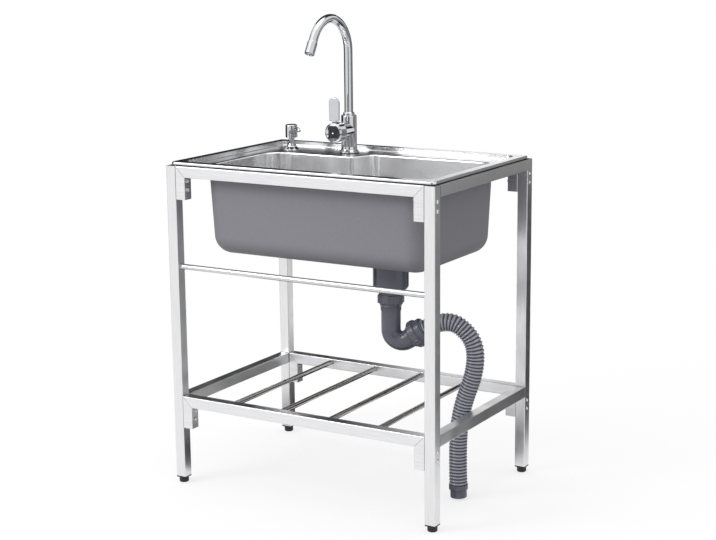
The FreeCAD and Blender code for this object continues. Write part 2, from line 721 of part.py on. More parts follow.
def strainer_basket():
    """Lift-out basket: slotted wall, pierced floor, knob on a post."""
    top = STRAINER_SEAT + STRAINER_WALL
    bottom = top - BASKET_DEPTH
    wall = BASKET_WALL
    floor_r = BASKET_R - BASKET_TAPER
    profile = [
        (0, bottom, 0),
        (floor_r, bottom, 4),
        (BASKET_R, top, 0),
        (BASKET_R + BASKET_RIM, top, 0),
        (BASKET_R + BASKET_RIM, top + wall, 0),
        (BASKET_R - wall, top + wall, 0),
        (floor_r - wall, bottom + wall, 3),
        (0, bottom + wall, 0),
    ]
    basket = turned(profile, DRAIN_X, DRAIN_Y)
    slot_bottom = bottom + (BASKET_DEPTH - BASKET_SLOT_LENGTH) / 2
    for k in range(BASKET_SLOTS):
        corner = V(floor_r - 6, -BASKET_SLOT_WIDTH / 2, slot_bottom)
        slot = Part.makeBox(BASKET_TAPER + 9, BASKET_SLOT_WIDTH, BASKET_SLOT_LENGTH, corner)
        slot.rotate(V(0, 0, 0), Z_AXIS, 360.0 * k / BASKET_SLOTS)
        slot.translate(V(DRAIN_X, DRAIN_Y, 0))
        basket = basket.cut(slot)
    basket = ring_of_holes(basket, BASKET_HOLES, BASKET_HOLE_CIRCLE, BASKET_HOLE_R, bottom)
    knob = turned(
        [
            (0, bottom + wall / 2, 0),
            (KNOB_POST_R, bottom + wall / 2, 0),
            (KNOB_POST_R, top - KNOB_H, 1.5),
            (KNOB_R, top, 0),
            (KNOB_R, top + KNOB_H, 1.8),
            (0, top + KNOB_H, 0),
        ],
        DRAIN_X,
        DRAIN_Y,
    )
    return basket.fuse(knob)


def drain_body():
    """Cup under the sink that narrows to the threaded tail neck."""
    bore = DRAIN_BODY_R - DRAIN_BODY_WALL
    neck_bore = DRAIN_NECK_R - NECK_WALL
    floor_top = DRAIN_BODY_BOTTOM + DRAIN_BODY_WALL
    profile = [
        (neck_bore, NECK_BOTTOM, 0),
        (DRAIN_NECK_R, NECK_BOTTOM, 0.6),
        (DRAIN_NECK_R, DRAIN_BODY_BOTTOM, 2),
        (DRAIN_BODY_R, DRAIN_BODY_BOTTOM, 9),
        (DRAIN_BODY_R, BODY_TOP, 0),
        (bore, BODY_TOP, 0),
        (bore, floor_top, 6),
        (neck_bore, floor_top, 1),
    ]
    body = turned(profile, DRAIN_X, DRAIN_Y)
    reach = neck_bore + 2
    crossbar_bottom = floor_top - SPIDER_H
    corner = V(DRAIN_X - reach, DRAIN_Y - SPIDER_WIDTH / 2, crossbar_bottom)
    crossbar = Part.makeBox(2 * reach, SPIDER_WIDTH, SPIDER_H, corner)
    boss_axis = V(DRAIN_X, DRAIN_Y, crossbar_bottom)
    boss = Part.makeCylinder(SPIDER_BOSS_R, SPIDER_H + 10, boss_axis)
    screw_hole = Part.makeCylinder(CENTRE_SCREW_R + RUNNING_GAP, SPIDER_H + 20, boss_axis - Z_AXIS)
    return body.fuse(crossbar.fuse(boss)).cut(screw_hole)


def with_grip_ribs(nut, radius, low, high, turn=0.0):
    """Half-round ribs round a hand nut that stands on the Z axis."""
    circle = radius - NUT_RIB_R / 3
    for k in range(NUT_RIBS):
        angle = 2 * math.pi * (k + turn) / NUT_RIBS
        foot_point = V(circle * math.cos(angle), circle * math.sin(angle), low)
        nut = nut.fuse(Part.makeCylinder(NUT_RIB_R, high - low, foot_point))
    return nut


def tail_nut():
    neck = DRAIN_NECK_R + RUNNING_GAP
    pipe = PIPE_R + RUNNING_GAP
    shelf = NECK_BOTTOM - TAIL_GASKET_H - TAIL_LIP
    profile = [
        (pipe, TAIL_NUT_BOTTOM, 0),
        (PIPE_R + 1.8, TAIL_NUT_BOTTOM, 0.5),
        (TAIL_NUT_R - 2.2, TAIL_NUT_SHOULDER, 1),
        (TAIL_NUT_R, TAIL_NUT_SHOULDER + 3, 1),
        (TAIL_NUT_R - 0.6, TAIL_NUT_TOP, 1),
        (neck, TAIL_NUT_TOP, 0),
        (neck, shelf, 0),
        (pipe, shelf, 0),
    ]
    nut = with_grip_ribs(turned(profile, 0, 0), TAIL_NUT_R, TAIL_NUT_SHOULDER + 1, TAIL_NUT_TOP - 1.5)
    nut.translate(V(DRAIN_X, DRAIN_Y, 0))
    return nut


def trap_pipe():
    """Rigid pipe: down from the drain, round the bend and up the arm."""
    top = V(DRAIN_X, DRAIN_Y, NECK_BOTTOM - TAIL_GASKET_H)
    end = ARM_CORNER + ARM_DIRECTION * (ARM_JOINT + PIPE_IN_NUT)
    turn = math.radians(90 + ARM_RISE)
    cut = PIPE_BEND_R * math.tan(turn / 2)
    bend_start = ARM_CORNER + Z_AXIS * cut
    bend_end = ARM_CORNER + ARM_DIRECTION * cut
    inward = (Z_AXIS + ARM_DIRECTION).normalize()
    middle = ARM_CORNER + inward * (PIPE_BEND_R / math.cos(turn / 2) - PIPE_BEND_R)
    path = Part.Wire(
        [
            Part.LineSegment(top, bend_start).toShape(),
            Part.Arc(bend_start, middle, bend_end).toShape(),
            Part.LineSegment(bend_end, end).toShape(),
        ]
    )
    skin = path.makePipeShell([Part.Wire(Part.Circle(top, Z_AXIS, PIPE_R).toShape())], True, False)
    bore_ring = Part.Circle(top, Z_AXIS, PIPE_R - PIPE_WALL)
    bore = path.makePipeShell([Part.Wire(bore_ring.toShape())], True, False)
    lip = flat_ring(DRAIN_NECK_R - 0.4, PIPE_R - 1, top.z - TAIL_LIP, top.z)
    bead_r = PIPE_R + PIPE_BEAD
    bead_low = flat_ring(bead_r, PIPE_R - 1, TAIL_NUT_BOTTOM - 9, TAIL_NUT_BOTTOM - 6)
    bead_high = flat_ring(bead_r, PIPE_R - 1, TAIL_NUT_BOTTOM - 4, TAIL_NUT_BOTTOM - 1.5)
    stop = Part.makeCylinder(PIPE_R + PIPE_STOP, PIPE_STOP)
    stop = aimed(stop, ARM_CORNER + ARM_DIRECTION * (ARM_JOINT - PIPE_STOP), ARM_DIRECTION)
    return skin.fuse([lip, bead_low, bead_high, stop]).cut(bore)


def hose_nut():
    """Union nut and collar that hold the ribbed hose against the end of the arm."""
    length = HOSE_NUT_GRIP + HOSE_COLLAR_LENGTH
    pipe = PIPE_R + RUNNING_GAP
    around_hose = HOSE_R + HOSE_NUT_GAP
    collar = around_hose + HOSE_COLLAR_WALL
    profile = [
        (pipe, 0, 0),
        (PIPE_R + 4.5, 0, 1),
        (HOSE_NUT_R, 5, 1.5),
        (HOSE_NUT_R, HOSE_NUT_GRIP - 1.5, 1.5),
        (collar, HOSE_NUT_GRIP, 0.8),
        (collar, length, 2),
        (around_hose, length, 0),
        (around_hose, PIPE_IN_NUT, 0),
        (pipe, PIPE_IN_NUT, 0),
    ]
    nut = turned(profile, 0, 0)
    nut = with_grip_ribs(nut, HOSE_NUT_R, 6, HOSE_NUT_GRIP - 3, 0.5)
    return aimed(nut, ARM_CORNER + ARM_DIRECTION * ARM_JOINT, ARM_DIRECTION)


# ------------------------------------------------------------------- hose
def hose_point(reach, height):
    """Point of the hose route in space."""
    heading = math.radians(ARM_HEADING)
    return V(DRAIN_X + reach * math.cos(heading), DRAIN_Y + reach * math.sin(heading), height)


def hose_route():
    """Points of the route, from the end of the arm to the end cuff."""
    points = [ARM_CORNER + ARM_DIRECTION * (ARM_JOINT + PIPE_IN_NUT)]
    for reach, rise in HOSE_FROM_CORNER:
        points.append(hose_point(reach, PIPE_CORNER_Z + rise))
    for reach, height in HOSE_FROM_FLOOR:
        points.append(hose_point(reach, height))
    return points


def hose_pieces():
    """The route as (length, point-and-direction function) runs and arcs."""
    points = hose_route()
    pieces = []
    here = points[0]
    for i in range(1, len(points) - 1):
        arrive = (points[i] - points[i - 1])
        leave = (points[i + 1] - points[i])
        shorter = min(arrive.Length, leave.Length)
        arrive = arrive.normalize()
        leave = leave.normalize()
        half = arrive.getAngle(leave) / 2
        radius = 0.45 * shorter / math.tan(half)
        start = points[i] - arrive * (0.45 * shorter)
        inward = (leave - arrive).normalize()
        centre = points[i] + inward * (radius / math.cos(half))
        print("hose bend radius", round(radius, 1), "turn", round(math.degrees(2 * half), 1))
        pieces.append(("run", here, arrive, (start - here).Length))
        pieces.append(("arc", start, arrive, centre, radius, radius * 2 * half))
        here = points[i] + leave * (0.45 * shorter)
    rest = (points[-1] - here).Length
    pieces.append(("run", here, (points[-1] - here).normalize(), rest))
    return pieces


def along_hose(pieces, distance):
    """Point and direction at a distance along the route."""
    for piece in pieces:
        length = piece[-1]
        if distance <= length or piece is pieces[-1]:
            if piece[0] == "run":
                return piece[1] + piece[2] * distance, piece[2]
            start, direction, centre, radius = piece[1:5]
            angle = distance / radius
            out = (start - centre).normalize()
            point = centre + out * (radius * math.cos(angle)) + direction * (radius * math.sin(angle))
            return point, direction * math.cos(angle) - out * math.sin(angle)
        distance -= length


def hose_circle(pieces, distance, radius):
    """Cross-section circle whose seam stays on the arm plane's side normal."""
    point, direction = along_hose(pieces, distance)
    heading = math.radians(ARM_HEADING)
    steady = V(-math.sin(heading), math.cos(heading), 0)
    circle = Part.Circle(point, direction, radius)
    circle.XAxis = steady
    return Part.Wire(circle.toShape())


def drain_hose():
    """Corrugated hose: a plain end, then four circles to a rib, lofted straight."""
    pieces = hose_pieces()
    total = sum(piece[-1] for piece in pieces)
    ribs = round((total - HOSE_SLEEVE) / RIB_PITCH)
    pitch = (total - HOSE_SLEEVE) / ribs
    steps = ((0.15, HOSE_ROOT_R), (0.4, HOSE_ROOT_R), (0.55, HOSE_R), (1.0, HOSE_R))
    rings = [hose_circle(pieces, 0, HOSE_R), hose_circle(pieces, HOSE_SLEEVE, HOSE_R)]
    for k in range(ribs):
        for share, radius in steps:
            rings.append(hose_circle(pieces, HOSE_SLEEVE + (k + share) * pitch, radius))
    skin = Part.makeLoft(rings, True, True)
    path_edges = []
    for piece in pieces:
        if piece[0] == "run":
            path_edges.append(Part.LineSegment(piece[1], piece[1] + piece[2] * piece[3]).toShape())
        else:
            start = piece[1]
            middle = along_hose([piece], piece[-1] / 2)[0]
            end = along_hose([piece], piece[-1])[0]
            path_edges.append(Part.Arc(start, middle, end).toShape())
    mouth = hose_circle(pieces, 0, HOSE_BORE_R)
    bore = Part.Wire(path_edges).makePipeShell([mouth], True, False)
    print("hose length", round(total, 1), "ribs", ribs, "volume", round(skin.Volume))
    return skin.cut(bore)


def hose_end():
    """Last point of the hose and its direction there."""
    pieces = hose_pieces()
    return along_hose(pieces, sum(piece[-1] for piece in pieces))


def hose_end_cuff():
    """Soft plain cuff on the outlet end of the hose."""
    point, direction = hose_end()
    profile = [
        (HOSE_BORE_R, 0, 0),
        (END_CUFF_BAND_R, 0, 0.8),
        (END_CUFF_BAND_R, END_CUFF_BAND, 0),
        (END_CUFF_R, END_CUFF_BAND + 2, 0),
        (END_CUFF_R, END_CUFF_LENGTH, 1.5),
        (HOSE_BORE_R, END_CUFF_LENGTH, 0),
    ]
    return aimed(turned(profile, 0, 0), point, direction)


# -------------------------------------------------------------------- tap
def tap_base():
    """Flange, column and forward barrel in one casting, with its hollow shank."""
    foot_z = DECK + TAP_GASKET_H
    profile = [
        (0, SHANK_BOTTOM, 0),
        (SHANK_R, SHANK_BOTTOM, 1),
        (SHANK_R, foot_z, 0),
        (TAP_FLANGE_R, foot_z, 0),
        (TAP_FLANGE_R, foot_z + 3.0, 1.5),
        (COLUMN_R + 1.2, foot_z + 6.0, 3),
        (COLUMN_R, foot_z + 14.0, 8),
        (COLUMN_R, COLUMN_TOP, 2),
        (0, COLUMN_TOP, 0),
    ]
    column = turned(profile, TAP_X, TAP_Y)
    barrel = turned(
        [
            (0, 0, 0),
            (BARREL_ROOT_R, 0, 0),
            (BARREL_END_R, BARREL_REACH, 1),
            (0, BARREL_REACH, 0),
        ],
        0,
        0,
    )
    axis_point = V(TAP_X, TAP_Y, BARREL_Z)
    barrel = aimed(barrel, axis_point, -Y_AXIS)
    mouth = axis_point - Y_AXIS * BARREL_REACH
    chamber = Part.makeCylinder(CARTRIDGE_R + RUNNING_GAP, CARTRIDGE_DEPTH, mouth, Y_AXIS)
    spout_socket = Part.makeCylinder(
        SPOUT_R + RUNNING_GAP, SPOUT_SOCKET, V(TAP_X, TAP_Y, COLUMN_TOP - SPOUT_SOCKET)
    )
    casting = column.fuse(barrel).cut(chamber).cut(spout_socket)
    for side in (-1, 1):
        inlet = V(TAP_X + side * INLET_SPACING / 2, TAP_Y, SHANK_BOTTOM - 1)
        casting = casting.cut(Part.makeCylinder(INLET_R, INLET_DEPTH + 1, inlet))
    return casting


def tap_cartridge():
    """Ceramic valve body with the bore for the lever's spindle."""
    mouth = V(TAP_X, TAP_Y - BARREL_REACH, BARREL_Z)
    body = Part.makeCylinder(CARTRIDGE_R, CARTRIDGE_DEPTH, mouth, Y_AXIS)
    return body.cut(Part.makeCylinder(SPINDLE_R + RUNNING_GAP, SPINDLE_LENGTH + 1, mouth, Y_AXIS))


def lever_hub():
    """Domed cap that turns on the barrel, slotted on top for the lever's root."""
    length = HUB_LENGTH
    profile = [
        (0, -SPINDLE_LENGTH, 0),
        (SPINDLE_R, -SPINDLE_LENGTH, 0),
        (SPINDLE_R, 0, 0),
        (HUB_R - 1, 0, 0),
        (HUB_R, 1, 0),
        (HUB_R, length - HUB_DOME, 2),
        (HUB_R - HUB_DOME, length - 0.8, 2),
        (0, length, 0),
    ]
    hub = aimed(turned(profile, 0, 0), V(TAP_X, HUB_BACK, BARREL_Z), -Y_AXIS)
    reach = LEVER_ROOT_R + LEVER_SLOT_CLEAR
    half = reach
    root = Part.makeCylinder(reach, 2 * half, V(TAP_X - half, PIVOT_Y, PIVOT_Z), X_AXIS)
    slot = Part.makeBox(2 * half, 2 * reach, 20, V(TAP_X - half, PIVOT_Y - reach, PIVOT_Z))
    pin_hole = Part.makeCylinder(PIVOT_PIN_R, 24, V(TAP_X - 12, PIVOT_Y, PIVOT_Z), X_AXIS)
    return hub.cut(root.fuse(slot)).cut(pin_hole)


def lever_pin():
    return Part.makeCylinder(PIVOT_PIN_R, 20, V(TAP_X - 10, PIVOT_Y, PIVOT_Z), X_AXIS)


def mixer_lever():
    """Flat upright paddle with a narrow root in the hub's slot."""
    half = LEVER_WIDTH / 2
    shoulder = BARREL_Z + HUB_R + 3.5
    root_half = LEVER_ROOT_R

    def face_on(a, b):
        return V(TAP_X + a, PIVOT_Y - LEVER_THICK / 2, b)

    corners = [
        (-root_half, PIVOT_Z, 0),
        (root_half, PIVOT_Z, 0),
        (root_half, shoulder, 0),
        (half - 1, shoulder, 3),
        (half, LEVER_TOP, half - 1),
        (-half, LEVER_TOP, half - 1),
        (-half + 1, shoulder, 3),
        (-root_half, shoulder, 0),
    ]
    paddle = Part.Face(outline(corners, face_on)).extrude(V(0, LEVER_THICK, 0))
    rim_edges = []
    for edge in paddle.Edges:
        box = edge.BoundBox
        if box.YLength < 1e-4 and box.ZMax > shoulder + 4:
            rim_edges.append(edge)
    paddle = paddle.makeFillet(1.4, rim_edges)
    root = Part.makeCylinder(LEVER_ROOT_R, 2 * root_half, V(TAP_X - root_half, PIVOT_Y, PIVOT_Z), X_AXIS)
    hole = Part.makeCylinder(PIVOT_PIN_R + RUNNING_GAP, 30, V(TAP_X - 15, PIVOT_Y, PIVOT_Z), X_AXIS)
    return paddle.fuse(root).cut(hole)


def spout_path():
    """Centre line of the gooseneck and its end point and direction."""
    foot_point = V(TAP_X, TAP_Y, COLUMN_TOP - SPOUT_SOCKET)
    limb_top = V(TAP_X, TAP_Y, SPOUT_LIMB_TOP)
    centre = limb_top - Y_AXIS * SPOUT_ARCH_R
    swept = math.radians(90 + SPOUT_ARCH_PAST)

    def on_arch(angle):
        offset = Y_AXIS * math.cos(angle) + Z_AXIS * math.sin(angle)
        return centre + offset * SPOUT_ARCH_R

    arch_end = on_arch(swept)
    direction = (Z_AXIS * math.cos(swept) - Y_AXIS * math.sin(swept)).normalize()
    tip = arch_end + direction * SPOUT_NOSE
    edges = [
        Part.LineSegment(foot_point, limb_top).toShape(),
        Part.Arc(limb_top, on_arch(swept / 2), arch_end).toShape(),
        Part.LineSegment(arch_end, tip - direction * AERATOR_LIP).toShape(),
    ]
    return edges, foot_point, tip, direction


def spout():
    edges, foot_point, tip, direction = spout_path()
    path = Part.Wire(edges)
    ring = Part.Wire(Part.Circle(foot_point, Z_AXIS, SPOUT_R).toShape())
    bore = Part.Wire(Part.Circle(foot_point, Z_AXIS, SPOUT_R - SPOUT_WALL).toShape())
    tube = path.makePipeShell([ring], True, False)
    return tube.cut(path.makePipeShell([bore], True, False))


def aerator():
    """Sleeve over the end of the spout, with a pierced disc set in it."""
    edges, foot_point, tip, direction = spout_path()
    inner = SPOUT_R
    length = AERATOR_LENGTH
    profile = [
        (inner, 0, 0),
        (AERATOR_R - 0.4, 0, 0.3),
        (AERATOR_R, 2, 0),
        (AERATOR_R, length, 0.8),
        (SPOUT_R - 1.5, length, 0),
        (SPOUT_R - 1.5, length - 1.5, 0),
        (0, length - 1.5, 0),
        (0, length - AERATOR_LIP, 0),
        (inner, length - AERATOR_LIP, 0),
    ]
    sleeve = turned(profile, 0, 0)
    for k in range(6):
        angle = math.radians(60 * k)
        spot = V(4.6 * math.cos(angle), 4.6 * math.sin(angle), length - 5)
        sleeve = sleeve.cut(Part.makeCylinder(1.0, 6, spot))
    return aimed(sleeve, tip - direction * length, direction)


def spout_collar():
    """Ring nut over the spout at the top of the column."""
    inner = SPOUT_R + RUNNING_GAP
    profile = [
        (inner, COLUMN_TOP, 0),
        (COLLAR_R, COLUMN_TOP, 0),
        (COLLAR_R, COLUMN_TOP + COLLAR_H - 2, 1),
        (inner + 1.2, COLUMN_TOP + COLLAR_H, 0.8),
        (inner, COLUMN_TOP + COLLAR_H, 0),
    ]
    return turned(profile, TAP_X, TAP_Y)


def tap_washer():
    top = DECK - SHEET
    return flat_ring(WASHER_R, SHANK_R, top - WASHER_H, top, TAP_X, TAP_Y)


def tap_nut():
    top = DECK - SHEET - WASHER_H
    nut = hexagon(TAP_NUT_FLATS, top - TAP_NUT_H, top)
    nut.translate(V(TAP_X, TAP_Y, 0))
    return nut.cut(Part.makeCylinder(SHANK_R, 2 * TAP_NUT_H, V(TAP_X, TAP_Y, top - 1.5 * TAP_NUT_H)))


# --------------------------------------------------------- soap dispenser
def soap_base():
    """Bell-shaped escutcheon with its threaded shank."""
    bore = SOAP_ROD_R + RUNNING_GAP
    barrel_bore = SOAP_BARREL_R + RUNNING_GAP
    shelf = SOAP_BELL_TOP - SOAP_GUIDE
    profile = [
        (barrel_bore, SOAP_SHANK_BOTTOM, 0),
        (SOAP_SHANK_R, SOAP_SHANK_BOTTOM, 0.8),
        (SOAP_SHANK_R, SOAP_FOOT, 0),
        (SOAP_FLANGE_R, SOAP_FOOT, 0),
        (SOAP_FLANGE_R, SOAP_FOOT + 2.5, 1.2),
        (SOAP_ROD_R + 4.5, SOAP_FOOT + 9, 6),
        (SOAP_ROD_R + 2.6, SOAP_BELL_TOP, 1.0),
        (bore, SOAP_BELL_TOP, 0),
        (bore, shelf, 0),
        (barrel_bore, shelf, 0),
    ]
    return turned(profile, SOAP_X, SOAP_Y)


def soap_rod():
    """Plunger rod of the pump, with the pin its head turns on."""
    profile = [
        (0, SOAP_ROD_BOTTOM, 0),
        (SOAP_ROD_R, SOAP_ROD_BOTTOM, 0.5),
        (SOAP_ROD_R, SOAP_HEAD_BOTTOM, 0),
        (SOAP_PIN_R, SOAP_HEAD_BOTTOM, 0),
        (SOAP_PIN_R, SOAP_HEAD_BOTTOM + SOAP_PIN_LENGTH, 0.5),
        (0, SOAP_HEAD_BOTTOM + SOAP_PIN_LENGTH, 0),
    ]
    return turned(profile, SOAP_X, SOAP_Y)


def soap_head():
    """Press-down head with the nozzle that points over the bowl."""
    profile = [
        (0, SOAP_HEAD_BOTTOM, 0),
        (SOAP_HEAD_R, SOAP_HEAD_BOTTOM, 1.5),
        (SOAP_HEAD_R, SOAP_HEAD_TOP, 3),
        (0, SOAP_HEAD_TOP, 0),
    ]
    head = turned(profile, SOAP_X, SOAP_Y)
    heading = math.radians(SOAP_NOZZLE_HEADING)
    forward = V(math.cos(heading), math.sin(heading), 0)
    start = V(SOAP_X, SOAP_Y, SOAP_HEAD_TOP - 2 * SOAP_NOZZLE_R)
    bend = 2 * SOAP_NOZZLE_R
    droop = math.radians(SOAP_NOZZLE_DROOP)
    knee = start + forward * (SOAP_NOZZLE_REACH - bend * math.sin(droop))

    def past_knee(angle):
        return knee + (forward * math.sin(angle) - Z_AXIS * (1 - math.cos(angle))) * bend

    path = Part.Wire(
        [
            Part.LineSegment(start, knee).toShape(),
            Part.Arc(knee, past_knee(droop / 2), past_knee(droop)).toShape(),
        ]
    )
    ring = Part.Wire(Part.Circle(start, forward, SOAP_NOZZLE_R).toShape())
    tube = path.makePipeShell([ring], True, False)
    way_out = forward * math.cos(droop) - Z_AXIS * math.sin(droop)
    outlet = Part.makeCylinder(SOAP_NOZZLE_R - 1.6, 8, past_knee(droop) - way_out * 7, way_out)
    socket_base = V(SOAP_X, SOAP_Y, SOAP_HEAD_BOTTOM - 1)
    socket_depth = SOAP_PIN_LENGTH + 1 + SOAP_PIN_CLEAR
    socket = Part.makeCylinder(SOAP_PIN_R + RUNNING_GAP, socket_depth, socket_base)
    return head.fuse(tube).cut(outlet).cut(socket)


def soap_pump():
    """Pump barrel hung in the shank, open on top for the rod, with its dip tube."""
    top = SOAP_BELL_TOP - SOAP_GUIDE
    floor = SOAP_ROD_BOTTOM - SOAP_STROKE - 2
    profile = [
        (0, floor - 8, 0),
        (SOAP_BARREL_R - 1, floor - 8, 1),
        (SOAP_BARREL_R, floor, 0),
        (SOAP_BARREL_R, top, 0),
        (SOAP_ROD_R + 0.6, top, 0),
        (SOAP_ROD_R + 0.6, floor, 0),
        (0, floor, 0),
    ]
    barrel = turned(profile, SOAP_X, SOAP_Y)
    foot_z = BOTTLE_BOTTOM + 6
    dip = Part.makeCylinder(DIP_TUBE_R, floor - 4 - foot_z, V(SOAP_X, SOAP_Y, foot_z))
    return barrel.fuse(dip)


def soap_nut():
    top = DECK - SHEET
    profile = [
        (SOAP_SHANK_R, top - SOAP_NUT_H, 0),
        (SOAP_NUT_R, top - SOAP_NUT_H, 1),
        (SOAP_NUT_R, top - 2, 0),
        (SOAP_NUT_R + 5, top - 2, 0),
        (SOAP_NUT_R + 5, top, 0),
        (SOAP_SHANK_R, top, 0),
    ]
    return turned(profile, SOAP_X, SOAP_Y)


def soap_bottle():
    """Bottle screwed up onto the shank, under the deck."""
    wall = BOTTLE_WALL
    neck = SOAP_SHANK_R + wall
    neck_top = SOAP_SHANK_BOTTOM + 16
    shoulder = SOAP_SHANK_BOTTOM - 4
    profile = [
        (0, BOTTLE_BOTTOM, 0),
        (BOTTLE_R, BOTTLE_BOTTOM, 5),
        (BOTTLE_R, shoulder, 8),
        (neck, shoulder + 4, 2),
        (neck, neck_top, 0),
        (SOAP_SHANK_R, neck_top, 0),
        (SOAP_SHANK_R, shoulder + 2, 0),
        (BOTTLE_R - wall, shoulder - wall, 6),
        (BOTTLE_R - wall, BOTTLE_BOTTOM + wall, 3.5),
        (0, BOTTLE_BOTTOM + wall, 0),
    ]
    return turned(profile, SOAP_X, SOAP_Y)


# --------------------------------------------------------------- assembly
SIDES = ((-1, "left"), (1, "right"))
ENDS = ((-1, "front"), (1, "rear"))
plugs = []
for end, end_name in ENDS:
    for side, side_name in SIDES:
        place = end_name + "_" + side_name
        save("leg_" + place, leg(side, end))
        save("foot_" + place, foot(side, end))
        plugs.append(leg_plug(side, end))
    save("top_rail_" + end_name, bolted_rail(end, FRAME_TOP))
    save("rack_rail_" + end_name, bolted_rail(end, RACK_TOP))
for side, side_name in SIDES:
    save("top_rail_" + side_name, side_rail(side, FRAME_TOP))
    save("rack_rail_" + side_name, side_rail(side, RACK_TOP))
for index in range(SLAT_COUNT):
    save("rack_slat_" + str(index + 1), slat(index))
rail_screws, rail_nuts = rail_fixings()
save("leg_plugs", Part.makeCompound(plugs))
save("rail_screws", rail_screws)
save("rail_nuts", rail_nuts)
save("towel_bar", towel_bar())
save("rim_seal", rim_seal())
save("sink_top", sink_top())

save("strainer_gasket", flat_ring(STRAINER_FLANGE_R - 1, DRAIN_HOLE_R, RECESS_FLOOR, STRAINER_SEAT))
save("drain_gasket", flat_ring(DRAIN_BODY_R + 2, DRAIN_HOLE_R, BODY_TOP, RECESS_BOTTOM))
save("sink_strainer", sink_strainer())
save("strainer_screw", strainer_screw())
save("strainer_basket", strainer_basket())
save("drain_body", drain_body())
save("tail_nut", tail_nut())
save("tail_gasket", flat_ring(DRAIN_NECK_R - 0.4, PIPE_R - PIPE_WALL, NECK_BOTTOM - TAIL_GASKET_H, NECK_BOTTOM))
save("trap_pipe", trap_pipe())
save("hose_nut", hose_nut())
save("drain_hose", drain_hose())
save("hose_end_cuff", hose_end_cuff())

save("tap_gasket", flat_ring(TAP_FLANGE_R - 0.6, TAP_HOLE_R, DECK, DECK + TAP_GASKET_H, TAP_X, TAP_Y))
save("tap_base", tap_base())
save("tap_cartridge", tap_cartridge())
save("lever_hub", lever_hub())
save("lever_pin", lever_pin())
save("mixer_lever", mixer_lever())
save("spout_collar", spout_collar())
save("tap_spout", spout())
save("aerator", aerator())
save("tap_washer", tap_washer())
save("tap_nut", tap_nut())

save("soap_gasket", flat_ring(SOAP_FLANGE_R - 0.6, SOAP_HOLE_R, DECK, SOAP_FOOT, SOAP_X, SOAP_Y))
save("soap_base", soap_base())
save("soap_nut", soap_nut())
save("soap_pump", soap_pump())
save("soap_rod", soap_rod())
save("soap_head", soap_head())
save("soap_bottle", soap_bottle())
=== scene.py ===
# %% [markdown]
# # A free-standing steel sink unit
# The real object is a pressed stainless sink on a stand of square tube, with a swan-neck tap, a soap
# pump, a towel bar, a rod rack and a ribbed waste hose. Its rigid pieces come from the CAD model, in
# metres, so this lesson is about light, metal and plastic, and about the one flexible piece, the hose.
# The first cell loads the CAD pieces.

import math

import bpy
from mathutils import Matrix, Vector


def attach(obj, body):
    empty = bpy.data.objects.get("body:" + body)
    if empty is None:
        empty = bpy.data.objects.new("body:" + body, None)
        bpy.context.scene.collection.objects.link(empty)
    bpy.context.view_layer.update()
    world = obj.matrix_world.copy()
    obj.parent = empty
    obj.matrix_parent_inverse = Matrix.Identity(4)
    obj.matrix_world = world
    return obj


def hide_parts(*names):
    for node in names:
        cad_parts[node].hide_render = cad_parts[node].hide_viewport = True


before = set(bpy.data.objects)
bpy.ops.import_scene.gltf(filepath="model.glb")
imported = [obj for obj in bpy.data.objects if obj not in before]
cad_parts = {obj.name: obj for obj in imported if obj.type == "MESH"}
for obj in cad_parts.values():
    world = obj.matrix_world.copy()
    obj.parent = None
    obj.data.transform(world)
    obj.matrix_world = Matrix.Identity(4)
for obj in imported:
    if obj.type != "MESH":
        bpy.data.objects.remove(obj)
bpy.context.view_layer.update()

# %% [markdown]
# ## The camera
# A product photograph is taken from some way off with a long lens, so that upright legs stay nearly
# upright. The place, the aim and the lens below were worked out from the corners of the stand, whose
# tube is 25 mm square. The camera could also be aimed with a Track To constraint, but three numbers
# for turn, rise and roll are easier to read and to repeat.

# %% Place the camera
CAMERA_PLACE = Vector((1.84614, -3.05886, 1.23928))
CAMERA_TURN = math.radians(30.883)
CAMERA_RISE = math.radians(11.793)
CAMERA_ROLL = math.radians(-0.579)
SENSOR_WIDTH = 36.0
PICTURE_WIDTH = 716.0
FOCAL_PIXELS = 1599.27
FARTHEST_SEEN = 60.0


def camera_axes(turn, rise, roll):
    """Right, up and backward directions of a camera."""
    back = Vector((math.sin(turn) * math.cos(rise), -math.cos(turn) * math.cos(rise), math.sin(rise)))
    right = Vector((math.cos(turn), math.sin(turn), 0.0))
    up = back.cross(right)
    rolled_right = right * math.cos(roll) + up * math.sin(roll)
    rolled_up = up * math.cos(roll) - right * math.sin(roll)
    return rolled_right, rolled_up, back


camera_data = bpy.data.cameras.new("studio_camera")
camera_data.sensor_width = SENSOR_WIDTH
camera_data.lens = FOCAL_PIXELS / PICTURE_WIDTH * SENSOR_WIDTH
camera_data.clip_end = FARTHEST_SEEN
camera = bpy.data.objects.new("studio_camera", camera_data)
bpy.context.collection.objects.link(camera)
turned = Matrix(camera_axes(CAMERA_TURN, CAMERA_RISE, CAMERA_ROLL)).transposed().to_4x4()
camera.matrix_world = Matrix.Translation(CAMERA_PLACE) @ turned
bpy.context.scene.camera = camera
bpy.context.scene.view_settings.view_transform = "Standard"
print("lens in mm:", round(camera_data.lens, 2))

# %% [markdown]
# ## Small tools for materials
# Colours are written as the hex values that a paint program shows, and one function turns them into
# the linear numbers that the shader works in. A second function adds a node. Each of the node's inputs
# gets either a value or a link from another node, so a whole material reads from top to bottom.

# %% Colours
def colour(hex_value):
    """sRGB hex text to a linear RGBA tuple."""
    channels = [int(hex_value[i:i + 2], 16) / 255 for i in (1, 3, 5)]
    linear = [c / 12.92 if c <= 0.04045 else ((c + 0.055) / 1.055) ** 2.4 for c in channels]
    return (*linear, 1.0)


WHITE = colour("#FFFFFF")
print("middle grey in linear light:", round(colour("#808080")[0], 3))

